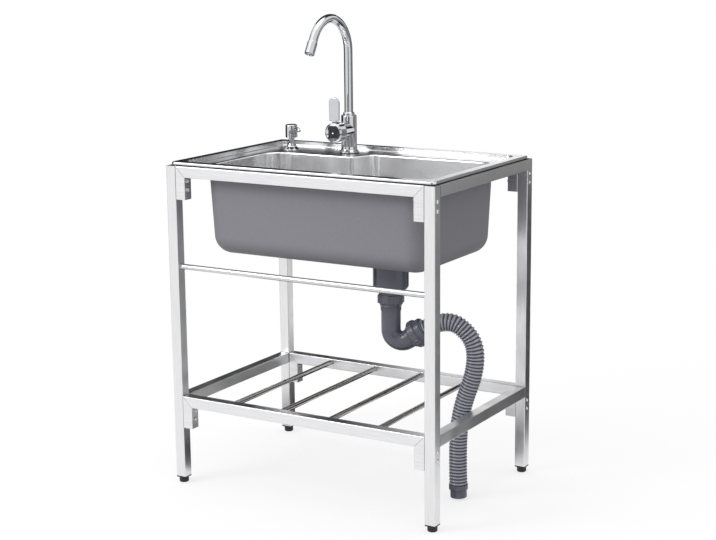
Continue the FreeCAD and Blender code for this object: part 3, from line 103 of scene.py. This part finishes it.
# %% Nodes
# A Mix node keeps its sockets for numbers, vectors and colours in one list, so they go by position.
MIX_NUMBERS = (2, 3)
MIX_COLOURS = (6, 7)


def add_node(tree, kind, inputs=None, **settings):
    """Add a node with its settings, and give each named or numbered input a value or a link."""
    node = tree.nodes.new(kind)
    for name, value in settings.items():
        setattr(node, name, value)
    for socket, value in (inputs or {}).items():
        if isinstance(value, bpy.types.NodeSocket):
            tree.links.new(value, node.inputs[socket])
        else:
            node.inputs[socket].default_value = value
    return node


def empty_material(name):
    """A new material without nodes, and its node tree."""
    material = bpy.data.materials.new(name)
    material.use_nodes = True
    material.node_tree.nodes.clear()
    return material, material.node_tree


print("node tools ready")

# %% [markdown]
# ## How each finish is built
# Metal and plastic look real when their colour and gloss wander a little, in a pattern of the right
# size. The pattern could be a picture wrapped round each piece, but noise in the object's own
# coordinates needs no unwrapping, and its grain can be given in millimetres. A colour or a number then
# follows the pattern, and one shader ends the material. What is the same all over stays a plain value.

# %% Patterns in millimetres
def new_finish(name):
    """A new material, its node tree, and a place on the object in metres."""
    material, tree = empty_material(name)
    return material, tree, add_node(tree, "ShaderNodeTexCoord").outputs["Object"]


def grain(tree, place, spacing_mm, stretch=(1.0, 1.0, 1.0), detail=2.0):
    """Noise whose grains are spacing_mm across, drawn out by stretch along each axis."""
    cells = 1000.0 / spacing_mm
    mapped = add_node(
        tree, "ShaderNodeMapping", {"Vector": place, "Scale": tuple(cells / s for s in stretch)}
    )
    noise = add_node(
        tree, "ShaderNodeTexNoise", {"Vector": mapped.outputs["Vector"], "Scale": 1.0, "Detail": detail}
    )
    return noise.outputs["Fac"]


# Noise seldom leaves the range from 0.3 to 0.7, so that range is spread out unless told otherwise.
def vary(tree, pattern, low, high, start=0.3, end=0.7):
    """Two numbers or two hex colours: low where the pattern is at start, high where it is at end."""
    colours = isinstance(low, str)
    ends = (0.0, 1.0) if colours else (low, high)
    share = add_node(tree, "ShaderNodeMapRange", {
        "Value": pattern, "From Min": start, "From Max": end, "To Min": ends[0], "To Max": ends[1],
    }).outputs["Result"]
    if not colours:
        return share
    first, second = MIX_COLOURS
    sockets = {"Factor": share, first: colour(low), second: colour(high)}
    return add_node(tree, "ShaderNodeMix", sockets, data_type="RGBA").outputs[2]


print("pattern tools ready")

# %% The end of every finish
def end_finish(tree, shader_inputs, height=None, depth_mm=0.0):
    """The shader with its values and links, raised by depth_mm where height is 1."""
    if height is not None:
        relief = {"Height": height, "Strength": 1.0, "Distance": depth_mm / 1000}
        raised = add_node(tree, "ShaderNodeBump", relief)
        shader_inputs = {**shader_inputs, "Normal": raised.outputs["Normal"]}
    shader = add_node(tree, "ShaderNodeBsdfPrincipled", shader_inputs)
    add_node(tree, "ShaderNodeOutputMaterial", {"Surface": shader.outputs["BSDF"]})


def finish_pieces(material, *names):
    """Give CAD pieces a material."""
    for name in names:
        piece = bpy.data.objects[name]
        piece.data.materials.clear()
        piece.data.materials.append(material)
    print(material.name, "on", len(names), "pieces")


print("finish tools ready")

# %% [markdown]
# ## Grime and painted shade in the joints
# Little light gets into the crack where two tubes meet, and polish and dust stay there, so each joint
# of the real stand shows a dark line. Here that line is painted into the colour, as painted shade with
# some grime. It could be painted one by one, but the Ambient Occlusion node finds the places by itself:
# it tells how open a point is to its surroundings within a few millimetres, and the colour darkens
# where the point is shut in.

# %% Painted shade and grime in crevices
OPENNESS_SAMPLES = 8
SHUT_IN = 0.30
OPEN_AIR = 0.80


def dark_crevices(tree, tone, grime_and_shade, reach_mm):
    """Let a colour darken to grime and painted shade where another surface is within reach_mm."""
    near = add_node(
        tree, "ShaderNodeAmbientOcclusion", {"Distance": reach_mm / 1000}, samples=OPENNESS_SAMPLES
    )
    openness = vary(tree, near.outputs["AO"], 0.0, 1.0, SHUT_IN, OPEN_AIR)
    first, second = MIX_COLOURS
    sockets = {"Factor": openness, first: colour(grime_and_shade), second: tone}
    return add_node(tree, "ShaderNodeMix", sockets, data_type="RGBA").outputs[2]


print("crevice tool ready")

# %% [markdown]
# ## Satin stainless tube
# The stand is square stainless tube with a belt-polished skin. The belt leaves fine scratches
# along the tube, about 0.2 mm apart, that smear a highlight across the tube and not along it. They
# could be an image, but noise that is drawn out along one axis does the same at any size. At this
# distance a 0.2 mm scratch is under a pixel, so the grain is drawn at 0.9 mm, just enough to be seen.
# The belt also presses harder here and there, which leaves duller clouds about 45 mm across.

# %% Tube steel
TUBE_GRAIN_MM = 0.9
TUBE_GRAIN_LENGTH = 60.0
TUBE_CLOUD_MM = 45.0
TUBE_SCRATCH_DEPTH_MM = 0.007
TUBE_JOINT_REACH_MM = 4.0


def satin_tube(name, axis):
    """Belt-polished steel whose grain runs along axis 0, 1 or 2."""
    material, tree, place = new_finish(name)
    stretch = [1.0, 1.0, 1.0]
    stretch[axis] = TUBE_GRAIN_LENGTH
    scratches = grain(tree, place, TUBE_GRAIN_MM, stretch)
    clouds = grain(tree, place, TUBE_CLOUD_MM)
    tone = vary(tree, scratches, "#DFDFE1", "#F0F0F1")
    end_finish(tree, {
        # The tube's joints darken to #3A3A3C: painted shade, with some grime.
        "Base Color": dark_crevices(tree, tone, "#3A3A3C", TUBE_JOINT_REACH_MM),
        "Roughness": vary(tree, clouds, 0.28, 0.38),
        "Metallic": 1.0,
    }, scratches, TUBE_SCRATCH_DEPTH_MM)
    return material


finish_pieces(satin_tube("satin_steel_upright", 2), *[
    "leg_" + end + "_" + side for end in ("front", "rear") for side in ("left", "right")
])
finish_pieces(satin_tube("satin_steel_across", 0), *[
    level + "_rail_" + end for level in ("top", "rack") for end in ("front", "rear")
])
finish_pieces(satin_tube("satin_steel_deep", 1), *[
    level + "_rail_" + side for level in ("top", "rack") for side in ("left", "right")
])

# %% [markdown]
# ## Bright drawn rod
# The towel bar and the rack rods are solid stainless rod, buffed bright. The mirror is nearly clean,
# with faint rings where the buffing wheel ran round them. Real rings are finer than a pixel, so they
# are drawn 1.5 mm apart. The rack rods are duller and a little warmer, as they get less of the buffing.

# %% Rod steel
BUFFING_RING_MM = 1.5
BUFFING_RING_WIDTH = 14.0
ROD_GLOSS_SPREAD = 0.08


def bright_rod(name, axis, tone, roughness):
    """Buffed steel with rings round axis 0 or 1."""
    material, tree, place = new_finish(name)
    stretch = [BUFFING_RING_WIDTH] * 3
    stretch[axis] = 1.0
    rings = grain(tree, place, BUFFING_RING_MM, stretch)
    end_finish(tree, {
        "Base Color": vary(tree, rings, tone, "#DEDEE0", 0.0, 1.0),
        "Roughness": vary(tree, rings, roughness, roughness + ROD_GLOSS_SPREAD),
        "Metallic": 1.0,
    })
    return material


finish_pieces(bright_rod("buffed_rod_across", 0, "#C2C2C5", 0.08), "towel_bar")
finish_pieces(
    bright_rod("buffed_rod_deep", 1, "#B9B4AE", 0.16), *["rack_slat_" + str(i) for i in (1, 2, 3, 4)]
)

# %% [markdown]
# ## The pressed sink
# The sink is one sheet of stainless steel, pressed to depth and then brushed. Brushing in short
# strokes leaves a soft, slightly cloudy mirror. Inside the bowl its colour is painted paler than on
# the deck, as painted light for the bowl's brighter reflections. The outside of the bowl is sprayed
# with a grey rubbery coat that stops drumming and dripping. The coat could be a second skin, but it
# is on the same sheet, so one material holds both: a point that faces away from the middle of the
# bowl, below the deck, belongs to the coat.

# %% Where the coat is
BOWL_MIDDLE = (0.020, -0.050, 0.640)
COAT_TOP = 0.7385


def coat_and_bowl(tree, place):
    """1 where the sheet is coated, and 1 where it is below the deck."""
    from_middle = add_node(tree, "ShaderNodeVectorMath", {0: place, 1: BOWL_MIDDLE}, operation="SUBTRACT")
    facing = add_node(tree, "ShaderNodeNewGeometry").outputs["Normal"]
    outward = add_node(
        tree, "ShaderNodeVectorMath", {0: from_middle.outputs["Vector"], 1: facing},
        operation="DOT_PRODUCT",
    )
    faces_out = add_node(
        tree, "ShaderNodeMath", {0: outward.outputs["Value"], 1: 0.0}, operation="GREATER_THAN"
    )
    height = add_node(tree, "ShaderNodeSeparateXYZ", {"Vector": place}).outputs["Z"]
    below = add_node(tree, "ShaderNodeMath", {0: height, 1: COAT_TOP}, operation="LESS_THAN").outputs[0]
    coated = add_node(
        tree, "ShaderNodeMath", {0: faces_out.outputs[0], 1: below}, operation="MULTIPLY"
    ).outputs[0]
    return coated, below


print("coat up to", COAT_TOP, "m above the floor")

# %% Sink steel and its undercoat
BRUSH_MM = 1.1
BRUSH_STRETCH = (40.0, 2.0, 1.0)
BRUSH_CLOUD_MM = 60.0
COAT_SPECKLE_MM = 1.6
COAT_ROUGHNESS = 0.62
SINK_RELIEF_MM = 0.005
SINK_CREVICE_REACH_MM = 5.0


def pressed_sink(name):
    """Brushed steel with a sprayed coat below. Anisotropy smears its highlights across the strokes."""
    material, tree, place = new_finish(name)
    coated, below = coat_and_bowl(tree, place)
    strokes = grain(tree, place, BRUSH_MM, BRUSH_STRETCH)
    clouds = grain(tree, place, BRUSH_CLOUD_MM, detail=3.0)
    speckle = grain(tree, place, COAT_SPECKLE_MM, detail=4.0)
    first, second = MIX_COLOURS
    # Below the deck the steel is painted paler: painted light for the bowl's brighter reflections.
    steel = add_node(tree, "ShaderNodeMix", {
        "Factor": below,
        first: vary(tree, strokes, "#D2D2D4", "#EAEAEC"),
        second: vary(tree, strokes, "#EBEBED", "#F8F8F9"),
    }, data_type="RGBA")
    skin = add_node(tree, "ShaderNodeMix", {
        "Factor": coated, first: steel.outputs[2], second: vary(tree, speckle, "#86858C", "#939299"),
    }, data_type="RGBA")
    first, second = MIX_NUMBERS
    roughness = add_node(tree, "ShaderNodeMix", {
        "Factor": coated, first: vary(tree, clouds, 0.16, 0.22), second: COAT_ROUGHNESS,
    }, data_type="FLOAT")
    relief = add_node(
        tree, "ShaderNodeMix", {"Factor": coated, first: strokes, second: speckle}, data_type="FLOAT"
    )
    bare = add_node(tree, "ShaderNodeMath", {0: 1.0, 1: coated}, operation="SUBTRACT")
    around = add_node(tree, "ShaderNodeTangent", direction_type="RADIAL", axis="Z")
    end_finish(tree, {
        # Creases of the sheet darken to #2C2C2E: painted shade, with some grime.
        "Base Color": dark_crevices(tree, skin.outputs[2], "#2C2C2E", SINK_CREVICE_REACH_MM),
        "Metallic": bare.outputs[0],
        "Roughness": roughness.outputs[0],
        "Anisotropic": 0.7,
        "Anisotropic Rotation": 0.25,
        "Tangent": around.outputs["Tangent"],
    }, relief.outputs[0], SINK_RELIEF_MM)
    return material


finish_pieces(pressed_sink("brushed_sink_steel"), "sink_top")

# %% [markdown]
# ## Chrome plate
# The tap and the soap pump are brass castings, polished and plated with bright chromium. Chrome is a
# clean dark-and-light mirror with a trace of blue. It could be a metal without any roughness, but
# hand polishing leaves it very slightly uneven, in waves about 9 mm long, and those bend reflections.

# %% Chrome
POLISH_WAVE_MM = 9.0
POLISH_DEPTH_MM = 0.02


def chrome_plate(name):
    """Bright plating over metal that was polished by hand."""
    material, tree, place = new_finish(name)
    polish = grain(tree, place, POLISH_WAVE_MM)
    end_finish(tree, {
        "Base Color": vary(tree, polish, "#C6C8CB", "#D4D5D8", 0.0, 1.0),
        "Roughness": vary(tree, polish, 0.035, 0.08),
        "Metallic": 1.0,
    }, polish, POLISH_DEPTH_MM)
    return material


finish_pieces(
    chrome_plate("chrome_plate"), "tap_base", "lever_hub", "mixer_lever", "tap_spout", "aerator",
    "spout_collar", "soap_base", "soap_rod", "soap_head",
)

# %% [markdown]
# ## Turned steel and bare brass
# Screws, nuts and the strainer are stainless steel from the lathe and the press: polished, but scuffed
# by spanners and cutlery, in marks some 2.5 mm apart. The nut under the deck and the valve body are
# plain brass, which tarnishes in patches. Both could share the chrome, but they would look too new.

# %% Screws, strainer and hidden brass
SCUFF_MM = 2.5
SCUFF_DEPTH_MM = 0.02
TARNISH_MM = 6.0


def turned_steel(name):
    """Stainless steel from the lathe or the press, a little scuffed."""
    material, tree, place = new_finish(name)
    scuffs = grain(tree, place, SCUFF_MM, detail=4.0)
    end_finish(tree, {
        "Base Color": vary(tree, scuffs, "#C9C9CB", "#E6E6E8", 0.0, 1.0),
        "Roughness": vary(tree, scuffs, 0.16, 0.32),
        "Metallic": 1.0,
    }, scuffs, SCUFF_DEPTH_MM)
    return material


def bare_brass(name):
    """Brass without plating, tarnished in patches."""
    material, tree, place = new_finish(name)
    tarnish = grain(tree, place, TARNISH_MM, detail=4.0)
    end_finish(tree, {
        "Base Color": vary(tree, tarnish, "#A8863F", "#D1B064", 0.0, 1.0),
        "Roughness": vary(tree, tarnish, 0.25, 0.45),
        "Metallic": 1.0,
    })
    return material


finish_pieces(
    turned_steel("turned_steel"), "rail_screws", "rail_nuts", "sink_strainer", "strainer_basket",
    "strainer_screw", "lever_pin",
)
finish_pieces(bare_brass("bare_brass"), "tap_nut", "tap_cartridge")

# %% [markdown]
# ## Moulded plastics and rubber
# The drain body, its nuts and the pipe are injection-moulded polypropylene, coloured slate grey. The
# mould is polished, so the skin is smooth with a broad soft shine. Feet and leg plugs are black
# polyethylene, duller. Rings are rubber, the strip under the rim is black foam, and the soap bottle is
# milky polyethylene. The foam's black also fills the dark gap between rim and rail, as painted shade.
# Each could have a material written out in full, but they differ only in colour,
# in gloss and in how coarse their skin is, so one function makes them all.

# %% Plastics and rubber
PLASTIC_IOR = 1.49
PLASTIC_GRAIN_MM = 0.9
PLASTIC_GLOSS_SPREAD = 0.1


def moulded_plastic(name, dark, light, roughness, mottle_mm=7.0, relief_mm=0.015):
    """Plastic whose colour and gloss wander over mottle_mm, with a skin that is relief_mm rough."""
    material, tree, place = new_finish(name)
    mottle = grain(tree, place, mottle_mm, detail=4.0)
    fine = grain(tree, place, PLASTIC_GRAIN_MM)
    end_finish(tree, {
        "Base Color": vary(tree, mottle, dark, light),
        "Roughness": vary(tree, mottle, roughness, roughness + PLASTIC_GLOSS_SPREAD),
        "IOR": PLASTIC_IOR,
    }, fine, relief_mm)
    return material


finish_pieces(
    moulded_plastic("slate_polypropylene", "#5F606D", "#666875", 0.15, 26.0, 0.006),
    "drain_body", "tail_nut", "trap_pipe", "hose_nut", "hose_end_cuff",
)
finish_pieces(
    moulded_plastic("black_polyethylene", "#121213", "#1E1E20", 0.42),
    "leg_plugs", "soap_nut", "foot_front_left", "foot_front_right", "foot_rear_left",
    "foot_rear_right",
)
finish_pieces(
    moulded_plastic("black_rubber", "#161616", "#232323", 0.62, 3.0, 0.03),
    "strainer_gasket", "drain_gasket", "tail_gasket", "tap_gasket", "tap_washer", "soap_gasket",
)
# The strip's black also stands in, as painted shade, for the dark gap under the rim.
finish_pieces(moulded_plastic("black_foam_and_gap_shade", "#0C0C0C", "#1C1C1C", 0.85, 1.8, 0.25), "rim_seal")
finish_pieces(
    moulded_plastic("milky_polyethylene", "#DDE0DE", "#E9EBE9", 0.38), "soap_bottle", "soap_pump"
)

# %% [markdown]
# ## The waste hose: its line
# The hose leaves the nut on the pipe, bends over and hangs to the floor inside the frame. It could be
# a bevelled curve, but a bevel has one thickness all the way, and this hose has ribs. So a smooth
# spline gives the line, and a mesh is swept along it later. The control points are the corners of the
# route, each as a reach from the drain, along one heading, and a height above the floor.

# %% The hose's line
HEADING = math.radians(13.0)
DRAIN_PLACE = Vector((0.131, -0.050, 0.0))
HOSE_REACH_AND_HEIGHT = (
    (0.0597, 0.3751),
    (0.1231, 0.4198),
    (0.1888, 0.3771),
    (0.1960, 0.3054),
    (0.1615, 0.2118),
    (0.1527, 0.1216),
    (0.1555, 0.0340),
)
LINE_STEPS = 64


def hose_place(reach, height):
    """A point of the route, which lies in one upright plane through the drain."""
    return Vector((
        DRAIN_PLACE.x + reach * math.cos(HEADING), DRAIN_PLACE.y + reach * math.sin(HEADING), height
    ))


def smooth_line(name, points):
    """Even, fine points along a NURBS spline that has these control points."""
    curve = bpy.data.curves.new(name, "CURVE")
    curve.dimensions = "3D"
    curve.resolution_u = LINE_STEPS
    spline = curve.splines.new("NURBS")
    spline.points.add(len(points) - 1)
    for point, place in zip(spline.points, points):
        point.co = (*place, 1.0)
    spline.order_u = 3
    spline.use_endpoint_u = True
    holder = bpy.data.objects.new(name, curve)
    bpy.context.collection.objects.link(holder)
    bpy.context.view_layer.update()
    mesh = bpy.data.meshes.new_from_object(holder.evaluated_get(bpy.context.evaluated_depsgraph_get()))
    line = [vertex.co.copy() for vertex in mesh.vertices]
    bpy.data.objects.remove(holder)
    bpy.data.meshes.remove(mesh)
    return line


def line_length(line):
    """Length along a line of points."""
    return sum((b - a).length for a, b in zip(line, line[1:]))


hose_line = smooth_line("hose_line", [hose_place(*spot) for spot in HOSE_REACH_AND_HEIGHT])
HOSE_LENGTH = line_length(hose_line)
print("hose line:", len(hose_line), "points,", round(HOSE_LENGTH, 4), "m")

# %% [markdown]
# ## The waste hose: its ribs
# The hose is blown polyethylene with round ribs 7.4 mm apart that let it bend. The ribs could be a
# bump in the material, but they show on the hose's outline, so they are real shape: the radius swells
# from a narrow valley to a wide crown at each rib. The first 21 mm are plain, to sit in the nut.

# %% The profile of the ribs
HOSE_RADIUS = 0.0206
HOSE_ROOT = 0.0174
HOSE_BORE = 0.0162
PLAIN_END = 0.021
RIB_PITCH = 0.0074
RIB_STEPS = 10
CROWN_WIDENING = 0.55
CROWN_FLATTENING = 1.02


def rib_radius(share):
    """Skin radius at a share of one rib: a narrow valley and a wide, rounded crown."""
    crown = 0.5 - 0.5 * math.cos(2 * math.pi * share)
    return HOSE_ROOT + (HOSE_RADIUS - HOSE_ROOT) * min(1.0, crown ** CROWN_WIDENING * CROWN_FLATTENING)


def hose_rings(length):
    """Distance and radius of each ring, out along the skin and back along the bore."""
    ribs = round((length - PLAIN_END) / RIB_PITCH)
    count = ribs * RIB_STEPS
    stations = [PLAIN_END + (length - PLAIN_END) * k / count for k in range(count + 1)]
    skin = [(0.0, HOSE_RADIUS), (PLAIN_END, HOSE_RADIUS)]
    skin += [(distance, rib_radius((k % RIB_STEPS) / RIB_STEPS)) for k, distance in enumerate(stations)]
    inner_stations = ([0.0] + stations)[::RIB_STEPS // 2]
    bore = [(distance, HOSE_BORE) for distance in reversed(inner_stations)]
    return skin, bore


skin_rings, bore_rings = hose_rings(HOSE_LENGTH)
print("hose rings:", len(skin_rings), "outside,", len(bore_rings), "inside")

# %% Sweep the rings along the line
HOSE_SIDES = 40


def point_along(line, distance):
    """Place and direction at a distance along a line of points."""
    for a, b in zip(line, line[1:]):
        step = (b - a).length
        if distance <= step:
            return a.lerp(b, distance / step), (b - a).normalized()
        distance -= step
    return line[-1].copy(), (line[-1] - line[-2]).normalized()


def swept_mesh(name, line, rings):
    """A closed mesh: each ring is joined to the next, and the last to the first."""
    side = Vector((-math.sin(HEADING), math.cos(HEADING), 0.0))
    vertices = []
    for distance, radius in rings:
        centre, direction = point_along(line, distance)
        across = direction.cross(side).normalized()
        for j in range(HOSE_SIDES):
            angle = 2 * math.pi * j / HOSE_SIDES
            vertices.append(centre + (side * math.cos(angle) + across * math.sin(angle)) * radius)
    faces = []
    for i in range(len(rings)):
        ring, following = i * HOSE_SIDES, ((i + 1) % len(rings)) * HOSE_SIDES
        for j in range(HOSE_SIDES):
            k = (j + 1) % HOSE_SIDES
            faces.append((ring + j, ring + k, following + k, following + j))
    mesh = bpy.data.meshes.new(name)
    mesh.from_pydata([tuple(v) for v in vertices], [], faces)
    mesh.update()
    return mesh


hose_mesh = swept_mesh("ribbed_hose", hose_line, skin_rings + bore_rings)
rib_height = hose_mesh.attributes.new("rib_height", "FLOAT", "POINT")
for i, (_, radius) in enumerate(skin_rings):
    for j in range(HOSE_SIDES):
        rib_height.data[i * HOSE_SIDES + j].value = (radius - HOSE_ROOT) / (HOSE_RADIUS - HOSE_ROOT)
for polygon in hose_mesh.polygons:
    polygon.use_smooth = True
print("hose mesh:", len(hose_mesh.polygons), "faces")

# %% Put the hose in its place
hose = bpy.data.objects.new("ribbed_hose", hose_mesh)
bpy.context.collection.objects.link(hose)
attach(hose, "stand")
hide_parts("drain_hose")
print("hose in place, from height", round(hose_line[0].z, 3), "to", round(hose_line[-1].z, 3), "m")

# %% [markdown]
# ## The waste hose: its plastic
# The colour could follow the light alone, but the valleys are only 3 mm deep, so each point of the
# mesh carries its height on the rib, and the material reads it: the colour is painted dark in the
# valleys, as painted shade, and pale on the crowns, as painted highlight. The crowns are also
# glossier than the valleys.

# %% Blown polyethylene
POLYETHYLENE_IOR = 1.51
HOSE_GRAIN_MM = 1.2
HOSE_GRAIN_DEPTH_MM = 0.006


def hose_polyethylene(name):
    """Plastic painted dark in the valleys as painted shade and pale on the crowns as painted highlight;
    glossier on the crowns.
    """
    material, tree, place = new_finish(name)
    rib = add_node(tree, "ShaderNodeAttribute", attribute_name="rib_height").outputs["Fac"]
    fine = grain(tree, place, HOSE_GRAIN_MM)
    end_finish(tree, {
        # Painted shade in the valleys and painted highlight on the crowns, read from the rib height.
        "Base Color": vary(tree, rib, "#2B2C34", "#A2A4B0", 0.15, 0.95),
        "Roughness": vary(tree, rib, 0.34, 0.10, 0.2, 0.9),
        "IOR": POLYETHYLENE_IOR,
        "Coat Weight": 0.6,
        "Coat Roughness": 0.06,
    }, fine, HOSE_GRAIN_DEPTH_MM)
    return material


hose.data.materials.append(hose_polyethylene("hose_polyethylene"))
print("hose finished")

# %% [markdown]
# ## The floor
# A product studio has a pale sweep under the object. It could be a bent sheet, but a flat one that
# fades to the white of the backdrop has no edge to hide. The camera, mirrors and glass see the floor
# nearly white. To the light that the floor throws back at the object it is a middle grey, or the
# undersides would glow. Close to the object it is partly a real matt surface, which keeps the shadow.

# %% Floor
FLOOR_WIDTH = 28.0
FLOOR_LIFT = 0.70
FADE_START = 0.5
FADE_END = 2.2


def seen_directly(tree):
    """1 for camera, mirror and glass rays, and 0 for the rays that carry light to the object."""
    rays = add_node(tree, "ShaderNodeLightPath").outputs
    pair = add_node(
        tree, "ShaderNodeMath", {0: rays["Is Camera Ray"], 1: rays["Is Glossy Ray"]}, operation="MAXIMUM"
    )
    either = add_node(
        tree, "ShaderNodeMath", {0: pair.outputs[0], 1: rays["Is Transmission Ray"]}, operation="MAXIMUM"
    )
    return either.outputs[0]


def flat_sheet(name, width, height):
    """A rectangle that lies flat about its own middle."""
    w, h = width / 2, height / 2
    mesh = bpy.data.meshes.new(name)
    mesh.from_pydata([(-w, -h, 0), (w, -h, 0), (w, h, 0), (-w, h, 0)], [], [(0, 1, 2, 3)])
    sheet = bpy.data.objects.new(name, mesh)
    bpy.context.collection.objects.link(sheet)
    return sheet


def pale_floor(name):
    """Matt near the object, and glowing white where it fades away."""
    material, tree = empty_material(name)
    direct = seen_directly(tree)
    tone = vary(tree, direct, "#A4A4A4", "#FAFAFA", 0.0, 1.0)
    matt = add_node(tree, "ShaderNodeBsdfDiffuse", {"Color": tone})
    glow = add_node(tree, "ShaderNodeEmission", {"Color": WHITE, "Strength": 1.0})
    place = add_node(tree, "ShaderNodeTexCoord").outputs["Object"]
    distance = add_node(tree, "ShaderNodeVectorMath", {0: place}, operation="LENGTH").outputs["Value"]
    share = vary(tree, distance, FLOOR_LIFT, 1.0, FADE_START, FADE_END)
    lift = add_node(tree, "ShaderNodeMath", {0: direct, 1: share}, operation="MULTIPLY")
    sockets = {0: lift.outputs[0], 1: matt.outputs[0], 2: glow.outputs[0]}
    mixed = add_node(tree, "ShaderNodeMixShader", sockets)
    add_node(tree, "ShaderNodeOutputMaterial", {"Surface": mixed.outputs[0]})
    return material


floor = flat_sheet("studio_floor", FLOOR_WIDTH, FLOOR_WIDTH)
floor.data.materials.append(pale_floor("pale_floor"))
print("floor:", FLOOR_WIDTH, "m wide, white from", FADE_END, "m out")

# %% [markdown]
# ## The room's own light
# A white room gives an even fill from all round. It could be a picture of a real studio, but plain
# grey-white is easier to balance. As with the floor, the camera, mirrors and glass see it as white,
# and the light that it gives is a little weaker, so that pale steel keeps its tone.

# %% World
FILL_STRENGTH = 0.78

world = bpy.data.worlds.new("studio_world")
bpy.context.scene.world = world
world.use_nodes = True
world_tree = world.node_tree
world_tree.nodes.clear()
fill_light = add_node(world_tree, "ShaderNodeBackground", {"Color": WHITE, "Strength": FILL_STRENGTH})
white_backdrop = add_node(world_tree, "ShaderNodeBackground", {"Color": WHITE, "Strength": 1.0})
room = add_node(
    world_tree, "ShaderNodeMixShader",
    {0: seen_directly(world_tree), 1: fill_light.outputs[0], 2: white_backdrop.outputs[0]},
)
add_node(world_tree, "ShaderNodeOutputWorld", {"Surface": room.outputs[0]})
print("fill light:", FILL_STRENGTH)

# %% [markdown]
# ## Lamps
# Large soft boxes light the object from the front left and from above, and a weak, wide sun evens out
# the faces between them. One bare lamp would be simpler, but it would burn small hard spots into the
# steel. Together they are kept at a plain level, at which a colour renders about as it is written.

# %% Soft boxes and a wide sun
def aim(thing, place, target):
    """Stand a lamp or a board at a place, facing a target."""
    thing.location = place
    thing.rotation_euler = (Vector(target) - Vector(place)).to_track_quat("-Z", "Y").to_euler()


def hang_lamp(name, kind, place, target, strength, **form):
    """A lamp whose strength is in watts for a box, and in watts per square metre for the sun."""
    data = bpy.data.lights.new(name, kind)
    data.energy = strength
    for setting, value in form.items():
        setattr(data, setting, value)
    lamp = bpy.data.objects.new(name, data)
    bpy.context.collection.objects.link(lamp)
    aim(lamp, place, target)
    print(name, "at", place)


hang_lamp(
    "key_box", "AREA", (-1.7, -2.4, 2.3), (0, 0, 0.5), 34, shape="RECTANGLE", size=1.2, size_y=1.2
)
hang_lamp(
    "top_box", "AREA", (0.2, 0.4, 3.2), (0, 0, 0.6), 12, shape="RECTANGLE", size=2.0, size_y=1.6
)
hang_lamp("even_sun", "SUN", (-0.6, -1.0, 3.0), (0, 0, 0), 0.4, angle=math.radians(60.0))

# %% [markdown]
# ## Grey boards for the metal to mirror
# Metal is only as dark as what it mirrors, and in an all-white room chrome would vanish. A
# photographer stands grey boards beside it, which give it dark lines and give each face of a tube its
# own tone. The metal could be painted darker instead, but then it would look like paint. Only
# reflections see these boards: they throw no shadow and don't show in the picture. Each one stands
# where a face of the object mirrors the camera's view.

# %% Boards
BOARDS = (
    # name, place, what it faces, width, height, shade
    ("board_beside", (0.72, 0.53, 0.63), (0.10, -0.25, 0.63), 1.0, 1.26, "#9C9C9C"),
    ("board_rear_leg", (0.455, 0.725, 0.31), (-0.165, -0.055, 0.31), 0.34, 0.60, "#3C3C3C"),
    ("board_at_camera", (1.0, -1.7, 1.1), (-0.09, 0.15, 1.1), 0.7, 1.7, "#1C1C1C"),
    ("board_back_left", (-1.4, 1.55, 1.1), (0.0, 0.15, 1.1), 1.2, 1.6, "#303030"),
    ("board_left", (-1.7, 0.0, 0.9), (0.0, 0.1, 0.9), 1.5, 1.8, "#262626"),
    ("board_behind", (0.15, 2.0, 0.8), (-0.05, 0.1, 0.8), 1.0, 1.6, "#262626"),
    ("board_above", (-0.8, 1.7, 2.5), (0.0, 0.0, 0.7), 3.0, 2.4, "#484848"),
    ("board_under", (-0.085, 0.01, 0.004), (-0.085, 0.01, 1.0), 0.73, 0.32, "#303030"),
    ("board_low_behind", (-0.2, 0.6, 0.004), (-0.2, 0.6, 1.0), 0.9, 0.6, "#303030"),
    ("board_on_floor", (0.75, 0.55, 0.003), (0.75, 0.55, 1.0), 0.6, 0.6, "#404040"),
    ("flag_at_tap", (-0.150, -0.030, 0.782), (-0.092, 0.07, 0.794), 0.05, 0.045, "#606060"),
)


def matt_board(name, shade):
    """Plain matt card."""
    material, tree = empty_material(name)
    matt = add_node(tree, "ShaderNodeBsdfDiffuse", {"Color": colour(shade)})
    add_node(tree, "ShaderNodeOutputMaterial", {"Surface": matt.outputs[0]})
    return material


for name, place, target, width, height, shade in BOARDS:
    board = flat_sheet(name, width, height)
    aim(board, place, target)
    board.visible_camera = False
    board.visible_diffuse = False
    board.visible_shadow = False
    board.visible_transmission = False
    board.data.materials.append(matt_board(name, shade))
print(len(BOARDS), "boards")
